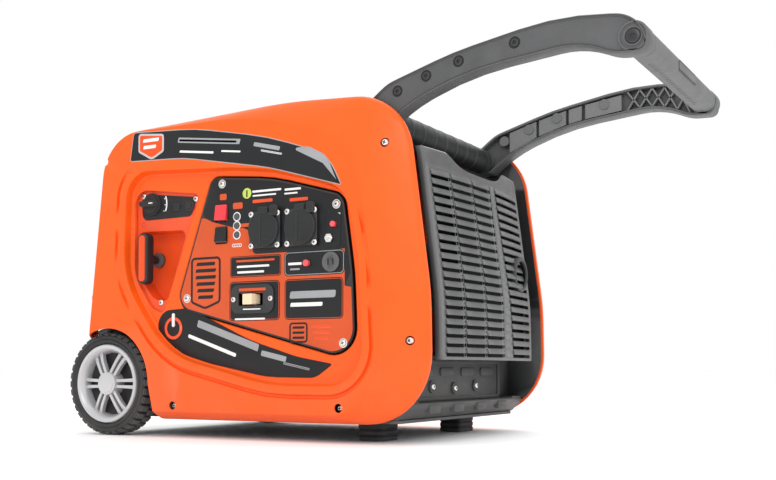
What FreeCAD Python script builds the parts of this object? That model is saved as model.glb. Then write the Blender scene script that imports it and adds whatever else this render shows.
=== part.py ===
import FreeCAD, Part
import math
import os

# A wheeled inverter generator with a fold-down tow handle.
# Millimetres, +Z up, floor at Z = 0. X runs along the machine, with the exhaust end
# and the handle at +X. The control side faces -Y. All outlines below are drawn about
# the middle of the casing, and every sub-part is then moved by originShift, so that
# the finished machine, handle included, is centred on the origin.

V = FreeCAD.Vector
doc = FreeCAD.newDocument("inverter_generator")

DIMENSIONS = [
    # casing
    ("originShift", 133.5, "from the casing's middle to the whole machine's middle"),
    ("faceY", 228, "middle to the flat outer face of a side shell"),
    ("seamY", 200, "middle to the seam plane behind a side shell"),
    ("landDepth", 6, "straight land of a side shell at its seam"),
    ("wall", 3, "moulded wall thickness"),
    ("inset", 2, "centre covers sit this far inside the shell outline"),
    ("baseZ", 27.3, "underside of the base tray"),
    ("recessFloorY", 214, "depth plane of the control recess floor"),
    ("archRadius", 86, "wheel arch in the side shells"),
    ("screwHole", 2.6, "clearance hole for a casing screw"),
    ("screwBore", 6, "counterbore round a casing screw head"),
    ("screwSeatY", 207, "seat plane of the casing screws"),
    ("bossRadius", 9, "screw boss inside a side shell"),
    ("headRadius", 5.2, "casing screw head"),
    ("headHigh", 3.2, "casing screw head height"),
    ("shankRadius", 2.4, "screw shank"),
    ("shankLong", 9, "screw shank length, clear of the folded handle"),
    ("trayThick", 4.2, "base tray floor"),
    ("bayWall", 3, "side walls of the wheel bay"),
    ("footLong", 38, "rubber foot"),
    ("footWide", 54, "rubber foot"),
    ("footHigh", 27, "rubber foot"),
    ("footX", 161, "low-X side of the feet"),
    ("footY", 101, "inner side of a foot"),
    # wheels
    ("wheelX", -241, "axle line, along the casing"),
    ("tyreRadius", 78, "tyre outside radius"),
    ("wheelMidY", 203, "middle of a tyre"),
    ("tyreWide", 44, "tyre width"),
    ("beadRadius", 60, "where the tyre sits on the rim"),
    ("rimLip", 48, "inside of the rim's lip"),
    ("hubRadius", 17.5, "wheel hub"),
    ("axleRadius", 8, "axle"),
    ("axleLong", 440, "axle length"),
    ("runningFit", 0.06, "radial clearance of a running fit"),
    # tow handle
    ("pivotX", 206, "handle pivot, along the casing"),
    ("pivotZ", 440, "handle pivot, above the floor"),
    ("pivotBoss", 20, "root boss of a handle arm"),
    ("pivotPin", 6, "handle pivot pin radius"),
    ("armInY", 169, "inner face of a handle arm"),
    ("armOutY", 197, "outer face of a handle arm"),
    ("knuckleX", 567, "grip end of an arm, along the casing"),
    ("knuckleZ", 497.5, "grip end of an arm, above the floor"),
    ("knuckleRadius", 19, "rounded grip end of an arm"),
    ("gripHigh", 15, "half height of the grip's section"),
    ("gripLong", 17.5, "half width of the grip's section"),
    ("tubeRadius", 21, "cross tube between the arm roots"),
    ("armWell", 6, "screw well in an arm"),
    ("armWellDeep", 3, "screw well in an arm"),
    ("armScrew", 5.6, "arm screw head"),
    ("channelInY", 163, "inner wall of a handle channel"),
    ("channelThick", 2.5, "floor of a handle channel"),
    # end panel
    ("bulge", 12, "how far the exhaust end panel bows outwards"),
    ("panelHalf", 161.5, "half width of the exhaust end panel"),
    ("grilleLow", 113, "bottom of the exhaust end panel"),
    ("grilleHigh", 290, "height of the exhaust end panel"),
    ("slotPitch", 12.8, "louvre spacing"),
    ("slotHigh", 7, "open slot height"),
    ("slotFirst", 124, "height of the lowest louvre"),
    ("slotRows", 20, "number of louvre rows"),
    ("outletY", 112, "exhaust outlet, across the machine"),
    ("outletZ", 246, "exhaust outlet, above the floor"),
    ("outletRadius", 27, "exhaust outlet bezel"),
    ("outletBore", 20, "exhaust outlet bore"),
    ("outletLong", 74, "exhaust outlet length"),
    # controls, on the panel plane
    ("panelBackY", 214, "back of the control panel plate"),
    ("panelThick", 2.5, "control panel plate"),
    ("socketZ", 295, "height of both AC outlets"),
    ("socketLeftX", 49, "left AC outlet"),
    ("socketRightX", 110, "right AC outlet"),
    ("socketPlate", 52, "AC outlet flange, square"),
    ("flangeThick", 4, "AC outlet flange thickness"),
    ("socketWell", 19.5, "radius of the plug well"),
    ("socketWellDeep", 16, "depth of the plug well"),
    ("socketScrew", 22.25, "half spacing of the outlet screws"),
    ("lidRadius", 25, "outlet lid"),
    ("lidThick", 3.5, "outlet lid thickness"),
    ("lidGap", 5.8, "from the panel face to a lid's inner face"),
    ("lidHingeY", 224, "hinge line of the outlet lids"),
    ("rockerX", -29, "both rocker switches"),
    ("startZ", 324, "start rocker height"),
    ("ecoZ", 292, "economy rocker height"),
    ("rockerWide", 20, "rocker width"),
    ("rockerHigh", 22, "rocker height"),
    ("rockerTilt", 8, "rocker tilt either way, degrees"),
    ("lampX", -1.5, "status lamps"),
    ("lampZ", 291, "lowest status lamp"),
    ("lampPitch", 13, "status lamp spacing"),
    ("lampRadius", 4.5, "status lamp lens"),
    ("resetX", 161, "AC reset button"),
    ("resetZ", 296, "AC reset button"),
    ("resetRadius", 4, "AC reset button"),
    ("tripX", 118, "DC breaker button"),
    ("tripZ", 245, "DC breaker button"),
    ("tripRadius", 4.5, "DC breaker button"),
    ("dcX", 157, "DC outlet"),
    ("dcZ", 245, "DC outlet"),
    ("dcRadius", 13.5, "DC outlet flange"),
    ("earthX", 155, "earth terminal"),
    ("earthZ", 277, "earth terminal"),
    ("breakerX", 27, "AC breaker"),
    ("breakerZ", 198.5, "AC breaker"),
    ("breakerWide", 74, "AC breaker frame"),
    ("breakerHigh", 41, "AC breaker frame"),
    ("leverTilt", 14, "breaker lever tilt either way, degrees"),
    ("rockerProud", 3.2, "a rocker's height above the panel"),
    ("buttonProud", 4.5, "a push button's height above the panel"),
    ("knobX", -165, "engine mode knob"),
    ("knobZ", 347, "engine mode knob"),
    ("knobRadius", 17, "engine mode knob"),
    # recoil starter
    ("recoilX", -170, "recoil rope line"),
    ("recoilZ", 265, "recoil rope line"),
    ("bezelY", 207, "face plane of the recoil bezel"),
    ("pocketY", 185, "floor plane of the recoil pocket"),
    ("gripBarHigh", 77, "recoil grip length"),
    ("gripBarWide", 20, "recoil grip width"),
    ("ropeRadius", 2, "recoil rope"),
    ("pulleyRadius", 48, "recoil pulley groove"),
    # power train
    ("crankZ", 215, "crankshaft height"),
    ("crankRadius", 12, "crankshaft"),
    ("rotorRadius", 78, "alternator rotor and fan"),
    ("rotorX", -150, "outer face of the rotor"),
    ("rotorLong", 62, "rotor length"),
    ("caseX", -72, "crankcase, fan side"),
    ("caseLong", 130, "crankcase length"),
    ("caseHalf", 74, "crankcase half width"),
    ("caseLow", 66, "crankcase underside"),
    ("caseHigh", 298, "crankcase top"),
    ("finPitch", 9, "cooling fin spacing"),
    ("tankLow", 372, "fuel tank underside"),
    ("tankHigh", 436, "fuel tank top"),
    ("fillX", -70, "fuel filler"),
    ("fillRadius", 26, "fuel filler neck"),
    ("tankX", -215, "low-X side of the fuel tank"),
    ("tankLong", 300, "fuel tank length"),
    ("tankWide", 260, "fuel tank width"),
    ("capRadius", 35, "fuel cap"),
    ("airBoxLong", 96, "air filter box"),
    ("airBoxWide", 56, "air filter box"),
    ("mufflerLong", 126, "muffler"),
    ("mufflerWide", 120, "muffler"),
    ("mufflerHigh", 100, "muffler"),
    ("batteryLong", 150, "starting battery"),
    ("batteryWide", 87, "starting battery"),
    ("batteryHigh", 95, "starting battery"),
    ("inverterLong", 130, "inverter module"),
    ("inverterDeep", 44, "inverter module"),
    ("inverterHigh", 120, "inverter module"),
    # service door
    ("doorX", -30, "middle of the service door"),
    ("doorZ", 232, "middle of the service door"),
    ("doorWide", 250, "service door width"),
    ("doorHigh", 210, "service door height"),
    ("doorGap", 1.5, "gap round the service door"),
]

sheet = doc.addObject("Spreadsheet::Sheet", "Dims")
for row, (alias, value, note) in enumerate(DIMENSIONS, 1):
    sheet.set("A%d" % row, note)
    sheet.set("B%d" % row, str(value))
    sheet.setAlias("B%d" % row, alias)
doc.recompute()


def dim(alias):
    """The number that a named cell holds."""
    return float(sheet.get(alias))


# ---------------------------------------------------------------- outlines
# A corner is (u, v, radius): straight runs joined by tangent arcs of that radius.

RIM = [(-286, 26, 60), (303, 26, 95), (300, 200, 420), (264, 465, 90),
       (81, 474.5, 900), (-249, 459, 85), (-286, 150, 300)]
FACE = [(-272, 38, 50), (238, 38, 80), (236, 205, 300), (196, 412, 105),
        (30, 456, 500), (-240, 456, 70), (-273, 150, 260)]
RECESS = [(-201, 398, 42), (60, 384, 500), (186, 343, 50), (206, 250, 300),
          (214, 76, 55), (60, 76, 300), (-124, 120, 150), (-207, 235, 120)]
PANEL = [(-47, 377, 16), (60, 367, 300), (175, 335, 22), (190, 230, 400),
         (195, 111, 34), (-112, 191, 24)]
BEZEL = [(-197, 373, 22), (-68, 357, 11), (-138, 179, 12), (-166, 191, 30), (-197, 240, 60)]
POCKET = [(-193, 307, 10), (-99, 305, 10), (-137, 200, 12), (-163, 205, 25), (-193, 243, 40)]
ARM = [(196, 424, 6), (188, 450, 10), (232, 483, 60), (330, 512, 500), (480, 538, 370),
       (574, 524, 44), (588, 478, 11), (545, 479, 60), (500, 499, 118), (345, 483, 400),
       (262, 450, 200), (222, 420, 8)]
ARCH_TAIL = [(-340, 78, 0), (-155, 84, 0), (-139, 15, 0), (-340, 15, 0)]
CHANNEL = [(176, 462, 0), (176, 412, 8), (194, 404, 10), (221, 352, 60), (236, 300, 80),
           (240, 200, 80), (236, 54, 4), (262, 54, 0)]
ARM_SCREWS = [(247, 471), (290, 486), (337, 499), (415, 512), (567, 497.5)]
SHELL_SCREWS = [(-243, 416), (-277, 210), (-108, 47), (175, 48), (277, 137), (240, 399)]
PANEL_SCREWS = [(-28, 366), (165, 323), (-91, 203), (176, 135)]
BEZEL_SCREWS = [(-183, 361), (-83, 350), (-148, 199)]


def edges_of(corners, closed=True):
    """Straight runs and tangent arcs through the corners, as curve segments."""
    points = [V(u, v, 0) for u, v, radius in corners]
    count = len(points)
    enters = list(points)
    leaves = list(points)
    arcs = [None] * count
    for i, (u, v, radius) in enumerate(corners):
        if radius <= 0 or (not closed and i in (0, count - 1)):
            continue
        back = (points[i - 1] - points[i]).normalize()
        ahead = (points[(i + 1) % count] - points[i]).normalize()
        half = back.getAngle(ahead) / 2
        reach = radius / math.tan(half)
        middle = (back + ahead).normalize() * (radius / math.sin(half) - radius)
        enters[i] = points[i] + back * reach
        leaves[i] = points[i] + ahead * reach
        arcs[i] = Part.ArcOfCircle(enters[i], points[i] + middle, leaves[i])
    curves = []
    for i in range(count if closed else count - 1):
        if arcs[i] is not None:
            curves.append(arcs[i])
        start = leaves[i]
        end = enters[(i + 1) % count]
        if (end - start).dot(points[(i + 1) % count] - points[i]) < -1e-6:
            raise RuntimeError("corner arcs overlap after (%g, %g)" % corners[i][:2])
        if start.distanceToPoint(end) > 1e-6:
            curves.append(Part.LineSegment(start, end))
    return curves


def grown(corners, distance):
    """The outline moved outwards by a distance (inwards when negative)."""
    area = sum(a[0] * b[1] - b[0] * a[1] for a, b in zip(corners, corners[1:] + corners[:1]))
    side = 1 if area > 0 else -1
    count = len(corners)
    moved = []
    for i, (u, v, radius) in enumerate(corners):
        here = V(u, v, 0)
        along_in = (here - V(corners[i - 1][0], corners[i - 1][1], 0)).normalize()
        after = corners[(i + 1) % count]
        along_out = (V(after[0], after[1], 0) - here).normalize()
        normal_in = V(along_in.y, -along_in.x, 0) * side
        normal_out = V(along_out.y, -along_out.x, 0) * side
        miter = (normal_in + normal_out).normalize()
        shift = miter * (distance / miter.dot(normal_in))
        turn = along_in.cross(along_out).z * side
        bend = radius + distance if turn > 0 else radius - distance
        moved.append((u + shift.x, v + shift.y, max(bend, 0.5) if radius > 0 else 0))
    return moved


def rectangle(u, v, wide, high, radius=0):
    """Corners of a rectangle about its middle."""
    a = wide / 2
    b = high / 2
    return [(u - a, v - b, radius), (u + a, v - b, radius), (u + a, v + b, radius),
            (u - a, v + b, radius)]


def circle(u, v, radius):
    """A full circle, as curve segments."""
    return [Part.Circle(V(u, v, 0), V(0, 0, 1), radius)]


# ---------------------------------------------------------------- sub-part helpers
parts = []


def keep(item, label, place="0"):
    """Name a finished sub-part and move it into the machine's frame."""
    item.Label = label
    item.setExpression("Placement.Base.x", "%s - Dims.originShift" % place)
    parts.append(item)
    return item


def new_body(label):
    """An empty body, moved into the machine's frame."""
    return keep(doc.addObject("PartDesign::Body", label), label)


def sketch_at(body, plane, offset, outlines):
    """A sketch on one of the body's own planes, moved along that plane's normal."""
    drawn = body.newObject("Sketcher::SketchObject", body.Name + "_outline")
    base = [item for item in body.Origin.OriginFeatures if item.Role == plane + "_Plane"][0]
    drawn.AttachmentSupport = [(base, "")]
    drawn.MapMode = "FlatFace"
    drawn.setExpression("AttachmentOffset.Base.z", offset)
    for outline in outlines:
        curves = outline if hasattr(outline[0], "toShape") else edges_of(outline)
        for curve in curves:
            drawn.addGeometry(curve, False)
    return drawn


def pad(body, plane, outlines, start, length):
    """Solid material from start, for a length. XZ sketches grow towards -Y."""
    offset = "-(%s)" % start if plane == "XZ" else start
    feature = body.newObject("PartDesign::Pad", body.Name + "_pad")
    feature.Profile = sketch_at(body, plane, offset, outlines)
    feature.setExpression("Length", length)
    body.Tip = feature
    doc.recompute()
    return feature


def pocket(body, plane, outlines, start, length):
    """Material removed from start, for a length: towards +Y from an XZ sketch,
    and towards the negative axis from the other planes."""
    before = body.Shape.Volume
    offset = "-(%s)" % start if plane == "XZ" else start
    feature = body.newObject("PartDesign::Pocket", body.Name + "_pocket")
    feature.Profile = sketch_at(body, plane, offset, outlines)
    feature.setExpression("Length", length)
    body.Tip = feature
    doc.recompute()
    if body.Shape.Volume > before - 0.01:
        raise RuntimeError("a pocket of %s removes nothing" % body.Label)
    return feature


def lathe(label, axis, profile, place):
    """A turned body about an axis: profile corners are (radius, along, fillet)."""
    body = new_body(label)
    if axis == "X":
        drawn = sketch_at(body, "XY", "0", [[(b, a, c) for a, b, c in profile]])
        line = "H_Axis"
    else:
        drawn = sketch_at(body, "XY" if axis == "Y" else "XZ", "0", [profile])
        line = "V_Axis"
    feature = body.newObject("PartDesign::Revolution", body.Name + "_turn")
    feature.Profile = drawn
    feature.ReferenceAxis = (drawn, [line])
    feature.Angle = 360
    body.Tip = feature
    body.setExpression("Placement.Base.x", "%s - Dims.originShift" % place[0])
    body.setExpression("Placement.Base.y", place[1])
    body.setExpression("Placement.Base.z", place[2])
    doc.recompute()
    return body


def drum(radius, length, place, axis="Z"):
    """A cylinder that starts at place and runs along an axis."""
    item = doc.addObject("Part::Cylinder", "drum")
    item.setExpression("Radius", radius)
    item.setExpression("Height", length)
    turn = {"Z": (V(0, 0, 1), 0), "X": (V(0, 1, 0), 90), "Y": (V(1, 0, 0), -90)}[axis]
    item.Placement = FreeCAD.Placement(V(0, 0, 0), FreeCAD.Rotation(turn[0], turn[1]))
    for name, text in zip("xyz", place):
        item.setExpression("Placement.Base." + name, text)
    return item


def block(size, corner):
    """A box from its sizes and its lowest corner."""
    item = doc.addObject("Part::Box", "block")
    for name, text in zip(("Length", "Width", "Height"), size):
        item.setExpression(name, text)
    for name, text in zip("xyz", corner):
        item.setExpression("Placement.Base." + name, text)
    return item


def soft_block(size, corner, radius):
    """A box with all of its edges rounded."""
    item = doc.addObject("Part::Fillet", "soft_block")
    item.Base = block(size, corner)
    item.Edges = [(edge, radius, radius) for edge in range(1, 13)]
    return item


def fuse(*items):
    """The union of several objects."""
    joined = doc.addObject("Part::MultiFuse", "fuse")
    joined.Shapes = list(items)
    return joined


def cut(base, *tools):
    """One object less the others."""
    removed = doc.addObject("Part::Cut", "cut")
    removed.Base = base
    removed.Tool = tools[0] if len(tools) == 1 else fuse(*tools)
    return removed


def group(*items):
    """Several separate solids that share one sub-part."""
    together = doc.addObject("Part::Compound", "group")
    together.Links = list(items)
    return together


def set_shape(label, shape):
    """A sub-part whose shape is made directly, then placed."""
    item = doc.addObject("Part::Feature", label)
    item.Shape = shape
    item.Placement = FreeCAD.Placement(V(-dim("originShift"), 0, 0), FreeCAD.Rotation())
    item.Label = label
    parts.append(item)
    return item


def wire_xz(corners, across):
    """An outline as a closed wire in the plane Y = across."""
    wire = Part.Wire([curve.toShape() for curve in edges_of(corners)])
    wire.rotate(V(0, 0, 0), V(1, 0, 0), 90)
    wire.translate(V(0, across, 0))
    return wire


def slab(corners, start, end, holes=()):
    """An outline with holes, as a solid between two planes across the machine."""
    low = min(start, end)
    solid = Part.Face(wire_xz(corners, low)).extrude(V(0, abs(end - start), 0))
    for hole in holes:
        solid = solid.cut(Part.Face(wire_xz(hole, low)).extrude(V(0, abs(end - start), 0)))
    return solid


def rod(x, z, radius, start, end):
    """A round bar across the machine between two planes."""
    low = min(start, end)
    return Part.makeCylinder(radius, abs(end - start), V(x, low, z), V(0, 1, 0))


# ---------------------------------------------------------------- casing
def side_shell(label, side, openings, panel_screws):
    """One moulded side of the casing: hollow, with screw bosses and a wheel arch. The
    side that carries panel screws also has the recess for the controls."""
    seam = side * dim("seamY")
    land = side * (dim("seamY") + dim("landDepth"))
    face = side * dim("faceY")
    wall = side * dim("wall")

    def hull(inward, rise):
        rim = grown(RIM, -inward)
        flat = grown(FACE, -inward)
        straight = slab(rim, seam, land - rise)
        loft = Part.makeLoft([wire_xz(rim, land - rise), wire_xz(flat, face - rise)], True, True)
        return straight.fuse(loft)

    outer = hull(0, 0)
    inner = hull(dim("wall"), wall)
    for x, z in SHELL_SCREWS:
        inner = inner.cut(rod(x, z, dim("bossRadius"), seam, face))
    if panel_screws:
        floor = side * (dim("recessFloorY") - dim("wall"))
        inner = inner.cut(slab(grown(RECESS, dim("wall")), floor, face))
        outer = outer.cut(slab(RECESS, side * dim("recessFloorY"), face * 1.05))
    shell = outer.cut(inner)
    for opening in openings:
        shell = shell.cut(slab(opening, seam * 0.5, face * 1.05))
    for x, z in SHELL_SCREWS + panel_screws:
        shell = shell.cut(rod(x, z, dim("screwHole"), seam * 0.9, face * 1.05))
    for x, z in SHELL_SCREWS:
        shell = shell.cut(rod(x, z, dim("screwBore"), side * dim("screwSeatY"), face * 1.05))
    shell = shell.cut(rod(dim("wheelX"), dim("tyreRadius"), dim("archRadius"), seam * 0.9, face * 1.05))
    shell = shell.cut(slab(ARCH_TAIL, seam * 0.9, face * 1.05))
    return set_shape(label, max(shell.Solids, key=lambda solid: solid.Volume))


def service_outline(gap):
    """The service door's outline in the rear shell, grown by a gap."""
    return grown(rectangle(dim("doorX"), dim("doorZ"), dim("doorWide"), dim("doorHigh"), 14), gap)


def shell_screws():
    """The casing screws of both sides."""
    screws = []
    for side in (-1, 1):
        seat = side * dim("screwSeatY")
        for x, z in SHELL_SCREWS:
            head = rod(x, z, dim("headRadius"), seat, seat + side * dim("headHigh"))
            head = head.cut(rod(x, z, 2, seat + side * 1.2, seat + side * dim("headHigh")))
            shank = rod(x, z, dim("shankRadius"), seat, seat - side * dim("shankLong"))
            screws.append(head.fuse(shank))
    set_shape("shell_screws", Part.makeCompound(screws))


def band(low_x, high_x, low_z, high_z, half):
    """A stretch of the centre section's wall that follows the shell outline."""
    outside = slab(grown(RIM, -dim("inset")), -half, half)
    inside = slab(grown(RIM, -dim("inset") - dim("wall")), -half, half)
    window = Part.makeBox(high_x - low_x, 2 * half, high_z - low_z, V(low_x, -half, low_z))
    return outside.cut(inside).common(window)


def less_screws(shape):
    """The shape with clearance notches for the casing screws of both sides."""
    for side in (-1, 1):
        for x, z in SHELL_SCREWS:
            shape = shape.cut(rod(x, z, dim("screwHole"), side * 190, side * dim("seamY")))
    return shape


def centre_covers():
    """Top cover with the filler opening, and the louvred intake end panel."""
    half = dim("seamY") - 0.4
    top = band(-330, 173.2, 384, 500, half)
    top = top.cut(Part.makeCylinder(dim("capRadius") + dim("doorGap"), 60, V(dim("fillX"), 0, 430)))
    top = less_screws(top)
    set_shape("top_cover", top)
    intake = band(-330, -200, 170, 383.6, half).fuse(band(-330, -200, 60, 170, 166))
    for row in range(12):
        z = 196 + row * 14
        intake = intake.cut(Part.makeBox(60, 300, 6, V(-300, -150, z)))
    set_shape("intake_end_panel", less_screws(intake))


def exhaust_end_panel():
    """The bowed grille at the exhaust end, with its open louvres and outlet hole."""
    half = dim("panelHalf")

    def section(across, inward):
        bow = dim("bulge") * (1 - (across / half) ** 2) - 6 - inward
        return wire_xz(grown(RIM, bow), across)

    stations = [half * step / 3 for step in range(-3, 4)]
    solid = Part.makeLoft([section(y, 0) for y in stations], True, False)
    hollow = Part.makeLoft([section(y, dim("wall")) for y in stations], True, False)
    window = Part.makeBox(120, 2 * half, dim("grilleHigh"), V(220, -half, dim("grilleLow")))
    panel = solid.cut(hollow).common(window)
    slots = []
    for row in range(int(dim("slotRows"))):
        z = dim("slotFirst") + row * dim("slotPitch")
        slots.append(Part.makeBox(90, 98, dim("slotHigh"), V(235, 50, z)))
        if row >= 9:
            slots.append(Part.makeBox(90, 50, dim("slotHigh"), V(235, -154, z)))
        for middle in (-102, -40, 22):
            slots.append(Part.makeBox(90, 7, dim("slotHigh"), V(235, middle - 3.5, z)))
    panel = panel.cut(Part.makeCompound(slots))
    outlet = Part.makeCylinder(
        dim("outletRadius") + 0.5, 90, V(240, dim("outletY"), dim("outletZ")), V(1, 0, 0)
    )
    panel = panel.cut(outlet)
    set_shape("exhaust_end_panel", max(panel.Solids, key=lambda solid: solid.Volume))
    start = V(233, dim("outletY"), dim("outletZ"))
    ring = Part.makeCylinder(dim("outletRadius"), dim("outletLong"), start, V(1, 0, 0))
    bore = Part.makeCylinder(dim("outletBore"), dim("outletLong"), start, V(1, 0, 0))
    set_shape("exhaust_outlet", ring.cut(bore))


def handle_channels():
    """The black channels beside the grille that take the folded handle arms."""
    outer = grown(RIM, -dim("inset") - 1.5)
    path = [curve.toShape() for curve in edges_of(CHANNEL, closed=False)]
    for name, side in (("front", -1), ("rear", 1)):
        wall_in = side * dim("channelInY")
        wall_out = side * (dim("seamY") - 0.3)
        track = Part.Wire(path)
        track.rotate(V(0, 0, 0), V(1, 0, 0), 90)
        track.translate(V(0, min(wall_in, wall_out), 0))
        floor = track.extrude(V(0, abs(wall_out - wall_in), 0)).makeOffsetShape(
            -dim("channelThick"), 0.01, fill=True, join=2
        )
        region = [(u, v, 0) for u, v, radius in CHANNEL] + [(330, 54, 0), (330, 500, 0), (176, 500, 0)]
        cheek = slab(outer, wall_out, wall_out - side * 2).common(
            slab(region, wall_out, wall_out - side * 2)
        )
        pin = rod(dim("pivotX"), dim("pivotZ"), dim("pivotPin"), wall_out - side * 1, side * 168)
        set_shape("handle_channel_" + name, less_screws(floor.fuse([cheek, pin]).removeSplitter()))


def base_and_feet():
    """Base tray with its axle brackets, the lower bumper and the rubber feet."""
    floor_z = "Dims.baseZ"
    tray = new_body("base_tray")
    pad(tray, "XY", [rectangle(50, 0, 398, 398, 14)], floor_z, "Dims.trayThick")
    pad(tray, "XY", [rectangle(-215, 0, 136, 340, 8)], floor_z, "Dims.trayThick")
    bay = [(-276, 31, 0), (-150, 31, 0), (-152, 168, 20), (-276, 168, 20)]
    pad(tray, "XZ", [bay], "169.6", "Dims.bayWall")
    pad(tray, "XZ", [bay], "-166.6", "Dims.bayWall")
    pocket(tray, "XZ", [circle(dim("wheelX"), dim("tyreRadius"), dim("axleRadius") + 0.02)], "-170", "340")
    ledge = slab([(240, 31.7, 0), (240, 53.6, 0), (265, 53.6, 2), (262, 47, 8), (247, 31.7, 0)], -199, 199)
    back = slab([(238, 40, 0), (241.5, 40, 0), (241.5, 119, 0), (238, 119, 0)], -162.4, 162.4)
    set_shape("lower_bumper", ledge.fuse(back).removeSplitter())
    size = ("Dims.footLong", "Dims.footWide", "Dims.footHigh")
    feet = [soft_block(size, ("Dims.footX", side, "0"), 3)
            for side in ("-Dims.footY - Dims.footWide", "Dims.footY")]
    keep(group(*feet), "feet")
    start = ("Dims.wheelX", "-Dims.axleLong / 2", "Dims.tyreRadius")
    axle = drum("Dims.axleRadius", "Dims.axleLong", start, "Y")
    keep(axle, "axle", "Dims.wheelX")


def wheels():
    """Two wheels: a block-tread tyre on a dished rim that runs on the axle."""
    half = dim("tyreWide") / 2
    bead = dim("beadRadius")
    bore = dim("axleRadius") + dim("runningFit")
    hub = dim("hubRadius")
    for name, side in (("front", -1), ("rear", 1)):
        place = ("Dims.wheelX", "%d * Dims.wheelMidY" % side, "Dims.tyreRadius")
        lathe("tyre_" + name, "Y", [
            (bead, -half + 4, 0), (dim("tyreRadius") - 8, -half, 6), (dim("tyreRadius"), -half + 9, 5),
            (dim("tyreRadius"), half - 9, 5), (dim("tyreRadius") - 8, half, 6), (bead, half - 4, 0)], place)
        out = side * half
        rim = lathe("rim_" + name, "Y", sorted_turn([
            (bore, out * 0.95), (hub, out * 0.95), (hub, out * 0.45), (dim("rimLip"), out * 0.55),
            (dim("rimLip") + 2, out * 0.95), (bead - 0.3, out * 0.95), (bead - 0.3, -out * 0.8),
            (bead - 4, -out * 0.8), (bead - 5, out * 0.2), (hub, out * 0.2), (hub, -out * 0.7),
            (bore, -out * 0.7)]), place)
        windows = [rectangle(0, 33, 15, 19, 3)]
        spokes = []
        for turn in range(6):
            angle = math.radians(30 + turn * 60)
            spokes.append([(u * math.cos(angle) - v * math.sin(angle),
                            u * math.sin(angle) + v * math.cos(angle), r) for u, v, r in windows[0]])
        pocket(rim, "XZ", spokes, "-%g" % (half + 1), "%g" % (2 * half + 2))


def sorted_turn(points):
    """A lathe profile with sharp corners."""
    return [(radius, along, 0) for radius, along in points]


side_shell("front_shell", -1, [grown(PANEL, -9), grown(BEZEL, -4)], PANEL_SCREWS)
side_shell("rear_shell", 1, [service_outline(0)], [])
shell_screws()
centre_covers()
exhaust_end_panel()
handle_channels()
base_and_feet()
wheels()


# ---------------------------------------------------------------- tow handle
def tow_handle():
    """Two curved arms, a cross tube at the pivots, the grip and the arm screws."""
    inner = dim("armInY")
    outer = dim("armOutY")
    for name, side in (("front", -1), ("rear", 1)):
        arm = slab(ARM, side * inner, side * outer)
        arm = arm.fuse(rod(dim("pivotX"), dim("pivotZ"), dim("pivotBoss"), side * inner, side * outer))
        arm = arm.fuse(rod(dim("knuckleX"), dim("knuckleZ"), dim("knuckleRadius"),
                           side * inner, side * outer))
        arm = arm.cut(rod(dim("pivotX"), dim("pivotZ"), dim("pivotPin") + dim("runningFit"),
                          side * inner, side * outer))
        for x, z in ARM_SCREWS:
            arm = arm.cut(rod(x, z, dim("armWell"), side * (outer - dim("armWellDeep")), side * outer))
        set_shape("handle_arm_" + name, arm.removeSplitter())
    grip = [(dim("knuckleX") - dim("gripLong"), dim("knuckleZ") - dim("gripHigh"), 12),
            (dim("knuckleX") + dim("gripLong"), dim("knuckleZ") - dim("gripHigh"), 12),
            (dim("knuckleX") + dim("gripLong"), dim("knuckleZ") + dim("gripHigh"), 12),
            (dim("knuckleX") - dim("gripLong"), dim("knuckleZ") + dim("gripHigh"), 12)]
    bar = new_body("handle_grip")
    pad(bar, "XZ", [grip], "Dims.armInY - 0.1", "2 * Dims.armInY - 0.2")
    place = ("Dims.pivotX", "0.2 - Dims.armInY", "Dims.pivotZ")
    tube = cut(drum("Dims.tubeRadius", "2 * Dims.armInY - 0.4", place, "Y"),
               drum("Dims.tubeRadius - Dims.wall", "2 * Dims.armInY - 0.4", place, "Y"))
    keep(tube, "handle_cross_tube")
    screws = []
    for side in (-1, 1):
        for x, z in ARM_SCREWS:
            screws.append(rod(x, z, dim("armScrew"), side * (outer - 2.9), side * (outer - 0.8)))
    set_shape("handle_screws", Part.makeCompound(screws))


tow_handle()


# ---------------------------------------------------------------- control side
def control_panel():
    """The panel plate with its cut-outs, and the screws that hold plate and bezel."""
    plate = new_body("control_panel")
    holes = [rectangle(dim(name), dim("socketZ"), 43, 43, 20) for name in ("socketLeftX", "socketRightX")]
    holes += [rectangle(dim("rockerX"), dim(name), 21.6, 25, 1.5) for name in ("startZ", "ecoZ")]
    holes += [circle(dim("lampX"), dim("lampZ") + step * dim("lampPitch"), dim("lampRadius") + 0.2)
              for step in range(3)]
    holes += [circle(dim("resetX"), dim("resetZ"), dim("resetRadius") + 0.5),
              circle(dim("tripX"), dim("tripZ"), dim("tripRadius") + 0.5),
              circle(dim("dcX"), dim("dcZ"), 11), circle(dim("earthX"), dim("earthZ"), 4),
              rectangle(dim("breakerX"), dim("breakerZ"), 56, 30, 3)]
    holes += [circle(x, z, dim("screwHole")) for x, z in PANEL_SCREWS]
    pad(plate, "XZ", [PANEL] + holes, "-Dims.panelBackY", "Dims.panelThick")
    screws = []
    for points, face in ((PANEL_SCREWS, dim("panelBackY") + dim("panelThick")),
                         (BEZEL_SCREWS, dim("bezelY"))):
        for x, z in points:
            screws.append(rod(x, z, 4.6, -face - 2.4, -face).fuse(rod(x, z, 2.2, -face, -face + 9)))
    set_shape("panel_screws", Part.makeCompound(screws))


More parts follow.
